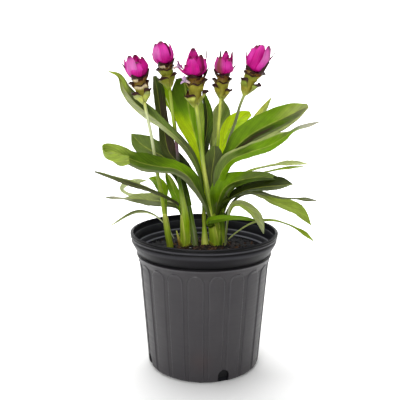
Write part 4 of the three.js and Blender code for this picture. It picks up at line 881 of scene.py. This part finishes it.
# Petal paints: the outside and the inside from foot to tip. Soft is a lighter copy of pink and wine a darker
# one: partly their own colour, partly painted light on petals facing the light and painted shade on petals
# tucked between others.
PETALS = {
    "soft": ("berry rose rose_light rose_pale rose_light", "magenta rose rose_light"),
    "pink": ("berry magenta rose rose_light rose", "magenta rose rose"),
    "vivid": ("berry magenta rose rose rose_light", "magenta rose"),
    "deep": ("wine berry magenta rose magenta", "berry magenta rose"),
    "wine": ("wine wine berry berry wine", "wine berry magenta"),
    "dusky": ("wine magenta magenta rose magenta", "wine berry magenta"),
    "russet": ("berry magenta rose rose_light rose", "wine magenta rose"),
}
HEARTS = {"russet": "olive_brown", "dusky": "wine"}  # tone down the middle of some petals
TIPS = {"vivid": 0.97, "dusky": 0.82}  # share of the length from which their tips are dry
PETAL_TIP = 0.88  # the same share for other petals
THIN_TIP = 0.6  # and for thin ones
INNER_TIP = 0.92  # and for those inside
THIN_PETAL = 0.5  # a petal narrower than this is a plain strip
CONE_CORE = [[3, -1], [8.8, 8], [9.8, 17], [10, 27], [9.5, 36], [3, 39]]
COMA_CORE = [[4, 36.4], [5, 41], [1.5, 54]]
CONE_FORM = np.array([[0.2, 21], [0.6, 9], [0.78, 3.2], [1, 0]])  # shares of the radius, mm below the tip
INNER_FORM = [[1.5, 41], [8, 47], [12, 60], [9, 70]]
LOBE_FORM = [[1.2, 7], [5, 11], [8.5, 12.5]]
# Half widths from foot to tip, thickness and cup of each kind. A petal's half widths go with its width.
BRACT = ([2.6, 8.5, 11, 12, 10.5, 7.5, 2], 1.0, [0.3, 0.3, 0.36, 0.6, 0.7])
CALYX = ([2, 6.5, 8.5, 8, 5, 1.2], 0.9, [0.34, 0.45])
PETAL = (np.array([1.6, 6.2, 9.4, 10.6, 10.4, 8.7, 2.8]), 0.8, [0.34, 0.34])
INNER = ([1.6, 6, 8.5, 8, 6, 1.6], 0.8, [0.4, 0.4])
LOBE = ([1.6, 4.2, 4.6, 1.0], 0.6, [0.3, 0.3])
LOW_BRACTS = 3  # the first three bracts of a head are its lower tier
FACING = (60, 135)  # angles between which a bract faces the viewer
# Share of the length from which the lip is dark: of a bract that faces the viewer, of others, of the calyx.
FACING_LIP = 0.74
BRACT_LIP = 0.58
CALYX_LIP = 0.48


def cone(axis, seat, seed):
    """The pouched bracts of a head: each leaves the axis low down and swells to a broad dark lip with a
    pointed tip. Above them two rings of narrow dark bracts hold the petals."""
    made = [head_core(axis, CONE_CORE, "straw pouch pouch husk maroon")]
    for i, (angle, r, h) in enumerate(seat["bracts"]):
        low = i < LOW_BRACTS
        facing = FACING[0] < angle < FACING[1]
        profile = np.stack([CONE_FORM[:, 0] * r, np.maximum(-6 if low else 1, h - CONE_FORM[:, 1])], -1)
        made.append(scale_leaf(
            axis, angle, profile, *BRACT, seat["low_paint" if low else "high_paint"],
            "cream tan rust maroon", "maroon", FACING_LIP if facing else BRACT_LIP, seed + i,
            rim=0.16, wave=0.16))
    inner_r = min(r for _, r, _ in seat["calyx"]) - 3.5
    ring = [(*place, 38) for place in seat["calyx"]]
    ring += [(seat["calyx"][0][0] + 36 + 72 * i, inner_r, 41 + 3 * (i % 2), 35) for i in range(5)]
    for i, (angle, r, h, bend) in enumerate(ring):
        made.append(scale_leaf(
            axis, angle, [[4, 29], [0.7 * r, bend], [r, h]], *CALYX,
            "pouch husk rust maroon" if i % 2 else seat["calyx_paint"], "cream tan rust", "maroon",
            CALYX_LIP, seed + 10 + i, rim=0.2, wave=0.16))
    return made


def coma(axis, seat, seed):
    """The pink petals of a head: each spreads from the axis, rises to its widest and closes to a blunt tip.
    Five more stand inside them."""
    made = [head_core(axis, COMA_CORE, "wine berry magenta")]
    for i, (angle, mid_r, mid_h, tip_r, tip_h, width, look) in enumerate(seat["petals"]):
        spans, *section = PETAL
        spans, bend = spans * width, [[0.68 * mid_r, 43]]
        if width < THIN_PETAL:
            spans, bend = [1.2, 9.6 * width, 9.6 * width, 1.0], []
        made.append(scale_leaf(
            axis, angle, [[2, 39.4], *bend, [mid_r, mid_h], [tip_r, tip_h]], spans, *section, *PETALS[look],
            "tip", THIN_TIP if width <= THIN_PETAL else TIPS.get(look, PETAL_TIP), seed + i,
            heart=HEARTS.get(look)))
    for i in range(5):
        made.append(scale_leaf(
            axis, 20 + 72 * i, INNER_FORM, *INNER, "berry magenta rose", "berry magenta rose", "tip",
            INNER_TIP, seed + 12 + i))
    return made


for order, (name, seat) in enumerate(HEADS.items()):
    axis = head_axis(seat["foot"], seat["up"], seat["size"])
    seed = 700 + 60 * order
    piece("head_bracts_" + name, cone(axis, seat, seed), bract_skin, "bracts_" + name)
    piece("head_coma_" + name, coma(axis, seat, seed + 40), coma_skin, "coma_" + name)

# The two open flowers between the bracts.
FLORETS = {
    "middle": dict(foot=[-24.6, -18.4, 489], up=[-0.9, -0.35, 0.5], size=1),
    "left_middle": dict(foot=[-52, 4, 512], up=[0.9, -0.4, 0.4], size=1),
}
for name, seat in FLORETS.items():
    axis = head_axis(**seat)
    parts = [head_core(axis, [[1.6, 0], [2.8, 10]], "cream lilac")]
    parts += [scale_leaf(axis, 120 * i, LOBE_FORM, *LOBE, "lilac lilac", "violet lilac lilac", None, 1,
                         980 + i, wave=0.15) for i in range(3)]
    piece("flower_" + name, parts, coma_skin, "floret_" + name)


# Soil, in mm

SOIL_ROWS = 90
SOIL_COLUMNS = 240
SOIL_RADIUS = 107.9
SOIL_EDGE_HEIGHT = 200
MOUND_HEIGHT = 6.5
MOUND_REACH = 113.2
LUMPS = [(1.4, 26, 11), (1.1, 9, 12), (0.7, 4, 13)]  # height, size across and seed
SOIL_SIDES = [[SOIL_RADIUS, 199], [107.6, 198], [105.9, 183], [93.7, 12.5], [88, 3.5], [60, 3.5], [0.5, 3.5]]


def mound(r):
    """Height of the soil at a radius: the 0.6th power of a quarter cosine above its edge."""
    return SOIL_EDGE_HEIGHT + MOUND_HEIGHT * np.cos(np.pi / 2 * np.clip(r / MOUND_REACH, 0, 1)) ** 0.6


def soil_body():
    """The soil: the mound with uneven lumps and crumbs, and smooth sides down to the pot's floor. It is brown
    only near the middle; towards the wall and down the sides it is near-black, painted shade.
    """
    a = np.arange(SOIL_COLUMNS)[None] * TURN / SOIL_COLUMNS
    r = np.linspace(0.5, SOIL_RADIUS, SOIL_ROWS)[:, None]
    flat = polar(r, a, 0)
    rough = sum(height * bumps(flat, size, seed) for height, size, seed in LUMPS)
    top = polar(r, a, mound(r) + rough * smooth(SOIL_RADIUS + 1, 100, r))
    rings = np.vstack([top] + [polar(r0, a, z) for r0, z in SOIL_SIDES]) * MM
    patchy = smooth(-1, 1, bumps(rings / MM, 14, 14))
    x, y, z = np.moveaxis(rings / MM, -1, 0)
    # Painted shade: the brown share falls away from the middle and below the top, leaving the near-black.
    near = smooth(78, 30, np.hypot(x, y - 10)) * smooth(190, 198, z)
    return rings, mix(linear("#0e0e11"), linear("#2c1d14"), near * (0.4 + 0.6 * patchy)), rings


def crumbs(count, reach, sizes, codes, seed):
    """Crumbs strewn on the soil: each is a box of six faces, stretched, with its corners moved at random and
    turned any way. They lie closest near the middle, as far out as the reach says, half sunk."""
    draw = np.random.default_rng(seed)
    box = np.array([[x, y, z] for x in (-1, 1) for y in (-1, 1) for z in (-1, 1)], float)
    faces = np.array([[0, 1, 3, 2], [4, 6, 7, 5], [0, 4, 5, 1], [2, 3, 7, 6], [0, 2, 6, 4], [1, 5, 7, 3]])
    size = draw.uniform(*sizes, (count, 1, 1)) / 2
    stretch = draw.uniform([1.0, 0.6, 0.35], [2.2, 1.2, 0.8], (count, 1, 3))
    corners = box * size * stretch * draw.uniform(0.6, 1.15, (count, 8, 3))
    frames = np.linalg.qr(draw.normal(size=(count, 3, 3)))[0]
    frames = frames * np.sign(np.linalg.det(frames))[:, None, None]
    r = np.minimum(np.abs(draw.normal(0, reach, count)), SOIL_RADIUS - 7)
    spot = polar(r, draw.uniform(0, TURN, count), mound(r) + draw.uniform(-0.3, 1.3, count))
    points = (np.einsum("nij,nkj->nki", frames, corners) + spot[:, None]) * MM
    quads = (faces[None] + 8 * np.arange(count)[:, None, None]).reshape(-1, 4)
    colours = np.stack([linear(code) for code in codes])[draw.integers(0, len(codes), count)]
    return (points.reshape(-1, 3), quads, np.empty((0, 3), int)), np.repeat(colours, 8, 0)


potting_mix = bark_and_peat()
piece("soil_mix", [soil_body()], potting_mix, "soil")
heaps, heap_colours = zip(
    crumbs(420, 34, (2, 6), ["#2e1d13", "#3a2619", "#241811", "#2b201a", "#4c3522"], 21),
    crumbs(520, 70, (1.5, 5), ["#141417", "#1c1c20", "#111114", "#241f1c"], 22),
    crumbs(26, 60, (1.2, 2.6), ["#d0d0cc", "#b0b0ac"], 23))
strewn = mesh_of("soil_crumbs", heaps, flat=True)
paint(strewn, np.vstack(heap_colours))
stand_for(link("soil_crumbs", strewn), potting_mix, "soil")


# Pot, in mm and degrees

FLUTES = 20
PER_FLUTE = 36  # columns
FIRST_FLUTE = 11.2
FLUTE_HALF = 6.5
FLUTE_DEPTH = 1.5
ARCH_FOOT = 176.5  # height at which a flute's arch starts
ARCH_RISE = 14.5
WALL_FOOT = [96.9, 13]  # radius and height at which the straight wall starts
WALL_SLOPE = 0.0775
COLLAR_FOOT = (201.6, 203)  # the dusty body gives way to the collar between these heights
NOTCHES = (20, 110, 200, 290)
NOTCH_HALF_WIDTH = 9.5
NOTCH_SIDE = 14.5  # height at which a notch's arch starts
NOTCH_REACH = (90.9, 106.9)
CUTTER_FOOT = -10  # the cutter goes out through the underside
SHARP_ANGLE = 38  # an edge of the pot that turns more than this is sharp


def flute_inset(a, height, r):
    """How far a place lies inside the outline of the nearest flute: straight sides under a round arch."""
    step = 360 / FLUTES
    off = (np.degrees(a) + 90 - FIRST_FLUTE + step / 2) % step - step / 2
    half = np.radians(FLUTE_HALF) * r
    rise = np.clip((height - ARCH_FOOT) / ARCH_RISE, 0, None)
    return half * (1 - np.sqrt((np.abs(np.radians(off)) * r / half) ** 2 + rise ** 2))


def pot_paint(points):
    """The pot's colour by place: a rubbed, dusty body with painted shade beside the flutes' edges and pale
    lines along them, painted highlights that stand partly for rub wear; a collar without dust whose darker
    tone is painted shade, with painted shade on its lip and in the grooves by its bead, painted highlights on
    the bead and the bulge under it, a painted shadow under the step and a painted highlight on the step's
    crest; a black inside with painted highlights on the edges of its ledges; and a faint brown smudge low on
    the front. Its alpha is the share of dusty body."""
    x, y, z = (points / MM).T
    r, a = np.hypot(x, y), np.arctan2(y, x)
    wall = np.interp(z, [0, 5, 13, 186, 190.5, 194.6, 200.5, 202.5, 205, 217, 228, 237],
                     [91, 95.7, 96.9, 110.3, 113, 113.9, 116.4, 114, 114.7, 121.6, 124.7, 127])
    outer = smooth(-1.8, -1.0, r - wall) * (z > 1)
    collar = outer * smooth(*COLLAR_FOOT, z)
    body = outer * smooth(*COLLAR_FOOT[::-1], z)
    inner = 1 - np.maximum(outer, z > 237.5)
    inset = flute_inset(a, z, r)
    upper = body * (0.4 + 0.6 * smooth(110, 185, z)) * smooth(194, 191, z)

    def band(height, half, power=2):
        return np.exp(-np.abs((z - height) / half) ** power)

    # Painted highlights on the bead and the bulge under it and along the inside ledges' edges; painted shade
    # in the grooves.
    bead = np.maximum(band(232, 1.2), 0.5 * band(224, 3))
    grooves = np.maximum(band(235.4, 0.7), 0.9 * band(228.6, 1.5, 4))
    ledges = np.maximum(0.5 * band(212.9, 0.8), np.maximum(0.4 * band(204.7, 0.7), 0.14 * band(228, 0.8)))
    smudge = np.exp(-((np.degrees(a) + 92) / 9) ** 2 - ((z - 42) / 14) ** 2)
    colour = np.broadcast_to(linear("#101015"), (len(z), 4))
    # The collar's darker tone, its near-black lip, the grooves and the black band under the step are painted
    # shade.
    for code, share in (
            ("#29262a", body), ("#161518", collar), ("#080809", collar * smooth(233, 234.2, z)),
            # Painted shade in the recess beside each flute's edge, and a painted highlight along the edge
            # itself that stands partly for rub wear.
            ("#060607", 0.4 * upper * np.exp(-((inset + 1.3) / 0.8) ** 2)),
            ("#7c7a80", 0.16 * upper * np.exp(-((inset - 0.1) / 0.8) ** 2)),
            ("#8c8c94", 0.2 * collar * bead), ("#020203", collar * grooves),
            ("#020203", 0.9 * outer * band(204.8, 3.2, 6)), ("#77767c", 0.2 * body * band(200, 0.9)),
            ("#8a8c96", inner * ledges), ("#3c2420", 0.35 * body * smudge)):
        colour = mix(colour, linear(code), share)
    colour[:, 3] = np.clip(body, 0, 1)
    return colour


def pot_body():
    """The pot's wall as one closed skin: its outer profile up from the middle of the base, round the lip, and
    down inside. Round-arched flutes are raised from it by the distance inside their outline."""
    foot = [[0.5, 0], [60, 0], [90.2, 0], [92, 0.6], [94.6, 2.6], [95.8, 5], [96.4, 8], WALL_FOOT]
    z = np.concatenate([np.linspace(16, 168, 12), np.linspace(171, 185, 21)])
    body = np.stack([WALL_FOOT[0] + (z - WALL_FOOT[1]) * WALL_SLOPE, z], -1)
    step = [[110.3, 186], [110.8, 187.5], [111.4, 189], [112.1, 190.5], [113.0, 192.5], [113.9, 194.6],
            [114.9, 197], [115.8, 199.2]]
    collar = [[116.3, 200.2], [116.45, 200.9], [116.0, 201.5], [115.0, 202.0], [114.1, 202.5], [113.8, 203.1],
              [114.0, 204.0], [114.7, 205.2], [118.7, 212.0], [121.6, 217.2], [122.6, 219.2], [123.2, 220.4],
              [124.2, 222], [125.0, 224], [125.1, 226], [124.7, 227.2], [124.4, 228.2], [124.5, 229.2],
              [125.2, 230.3], [126.2, 231.4], [126.6, 232.4], [126.4, 233.6], [126.0, 234.5], [126.2, 235.5],
              [126.9, 236.4], [126.9, 237.4], [126.3, 238.3], [125.2, 238.7], [124.6, 238.3], [124.2, 237.9],
              [123.8, 238.2], [123.3, 238.8], [122.8, 239.0], [122.3, 238.6], [122.1, 237.8]]
    inside = [[121.9, 235], [121.5, 229.2], [121.2, 228.4], [120.8, 227.9], [120.3, 227.2], [118.9, 215],
              [118.5, 213.8], [117.8, 213], [116.8, 212.5], [115.6, 211.6], [112.8, 206.4], [112.1, 205.2],
              [111.2, 204.6], [109.2, 203.9], [108.6, 202.6], [108.4, 200], [107.4, 191], [106.4, 183],
              [94.2, 12], [88.5, 3], [60, 3], [0.5, 3]]
    profile = np.vstack([foot, body, step, collar, inside])
    fluted = (np.arange(len(profile)) < len(foot) + len(body) + len(step))[:, None]
    a = np.arange(FLUTES * PER_FLUTE)[None] * TURN / (FLUTES * PER_FLUTE)
    r, height = profile[:, :1], profile[:, 1:]
    raised = FLUTE_DEPTH * smooth(-1.3, 0.1, flute_inset(a, height, r)) * smooth(1, 7, height) * fluted
    return polar(r + raised, a, height) * MM


def notch_cutter(angle):
    """An arched prism out through the pot's foot at an angle from the front."""
    a = np.linspace(0, np.pi, 25)
    x = NOTCH_HALF_WIDTH * np.concatenate([[-1, 1], np.cos(a)])
    z = np.concatenate([[CUTTER_FOOT, CUTTER_FOOT], NOTCH_SIDE + NOTCH_HALF_WIDTH * np.sin(a)])
    way = np.radians(angle - 90)
    out = np.array([np.cos(way), np.sin(way), 0])
    across = np.array([-np.sin(way), np.cos(way), 0])
    ring = across * x[:, None] + np.array([0, 0, 1]) * z[:, None]
    return np.stack([ring + out * reach for reach in NOTCH_REACH]) * MM


def cut_pot():
    """The pot with its drain notches cut out, as one mesh."""
    pot = link("pot_wall", mesh_of("pot_wall", [skin(pot_body())]))
    cutter = link("notches", mesh_of("notches", [skin(notch_cutter(angle)) for angle in NOTCHES]))
    cut = pot.modifiers.new("notches", "BOOLEAN")
    cut.operation = "DIFFERENCE"
    cut.solver = "EXACT"
    cut.object = cutter
    shape = bpy.data.meshes.new_from_object(pot.evaluated_get(bpy.context.evaluated_depsgraph_get()))
    pot.modifiers.clear()
    pot.data = shape
    bpy.data.objects.remove(cutter)
    shape.shade_smooth()
    shape.set_sharp_from_angle(angle=np.radians(SHARP_ANGLE))
    points = np.empty(3 * len(shape.vertices))
    shape.vertices.foreach_get("co", points)
    paint(shape, pot_paint(points.reshape(-1, 3)))
    shape.materials.clear()
    return pot


stand_for(cut_pot(), moulded_polypropylene(), "pot")


# Studio, in metres

FLOOR_SIZE = 6
SWEEP = 1.5  # radius of the curve between floor and wall


def backdrop():
    """A level floor that curves up behind into a wall, both far larger than the view."""
    bend = np.linspace(0.1, np.pi / 2, 16)
    x = np.linspace(-FLOOR_SIZE, FLOOR_SIZE, 12)
    y = np.concatenate([np.linspace(-FLOOR_SIZE, 2, 30), 2 + SWEEP * np.sin(bend), np.full(6, 2 + SWEEP)])
    z = np.concatenate([np.zeros(30), SWEEP - SWEEP * np.cos(bend), np.linspace(1.8, FLOOR_SIZE, 6)])
    places = np.stack(np.broadcast_arrays(x[None], y[:, None], z[:, None]), -1)
    index = np.arange(places.shape[0] * 12).reshape(-1, 12)
    quads = np.stack([index[:-1, :-1], index[:-1, 1:], index[1:, 1:], index[1:, :-1]], -1).reshape(-1, 4)
    mesh = mesh_of("studio_floor", [(places.reshape(-1, 3), quads, np.empty((0, 3), int))])
    mesh.materials.append(studio_paper())
    link("studio_floor", mesh)


def softbox(name, place, aim, size, power):
    """A square area light at a place, turned to a point."""
    lamp = bpy.data.lights.new(name, "AREA")
    lamp.size = size
    lamp.energy = power
    z = unit(np.array(place, float) - np.array(aim, float))
    x = unit(np.cross([0, 0, 1], z))
    turn = Matrix(np.stack([x, np.cross(z, x), z], 1).tolist()).to_4x4()
    link(name, lamp).matrix_world = Matrix.Translation(place) @ turn


backdrop()
softbox("top_softbox", (-0.2, 0.25, 2.0), (0, 0, 0.2), 1.5, 27)
softbox("front_softbox", (-0.4, -2.1, 1.1), (0, 0, 0.2), 1.3, 29)
softbox("wall_light", (0, 1.2, 2.6), (0, 3.5, 1.1), 2.0, 160)
world = bpy.data.worlds.new("studio")
world.use_nodes = True
world.node_tree.nodes["Background"].inputs["Color"].default_value = (1, 1, 1, 1)
world.node_tree.nodes["Background"].inputs["Strength"].default_value = 0.4
bpy.context.scene.world = world
bpy.context.scene.view_settings.view_transform = "Standard"

# Camera: where the photograph was taken from, worked out from the pot's outline.
CAMERA_PLACE = (0.0, -1.0633, 0.51597)
CAMERA_DOWN = 11.912  # degrees
CAMERA_LEFT = 0.397
CAMERA_ROLL = 0.284
FOCAL_LENGTH = 57.17  # mm
lens = bpy.data.cameras.new("camera")
lens.sensor_width = 36
lens.lens = FOCAL_LENGTH
camera = link("camera", lens)
camera.matrix_world = Matrix.Translation(CAMERA_PLACE)
for degrees, way in ((CAMERA_LEFT, "Z"), (90 - CAMERA_DOWN, "X"), (CAMERA_ROLL, "Z")):
    camera.matrix_world = camera.matrix_world @ Matrix.Rotation(np.radians(degrees), 4, way)
bpy.context.scene.camera = camera
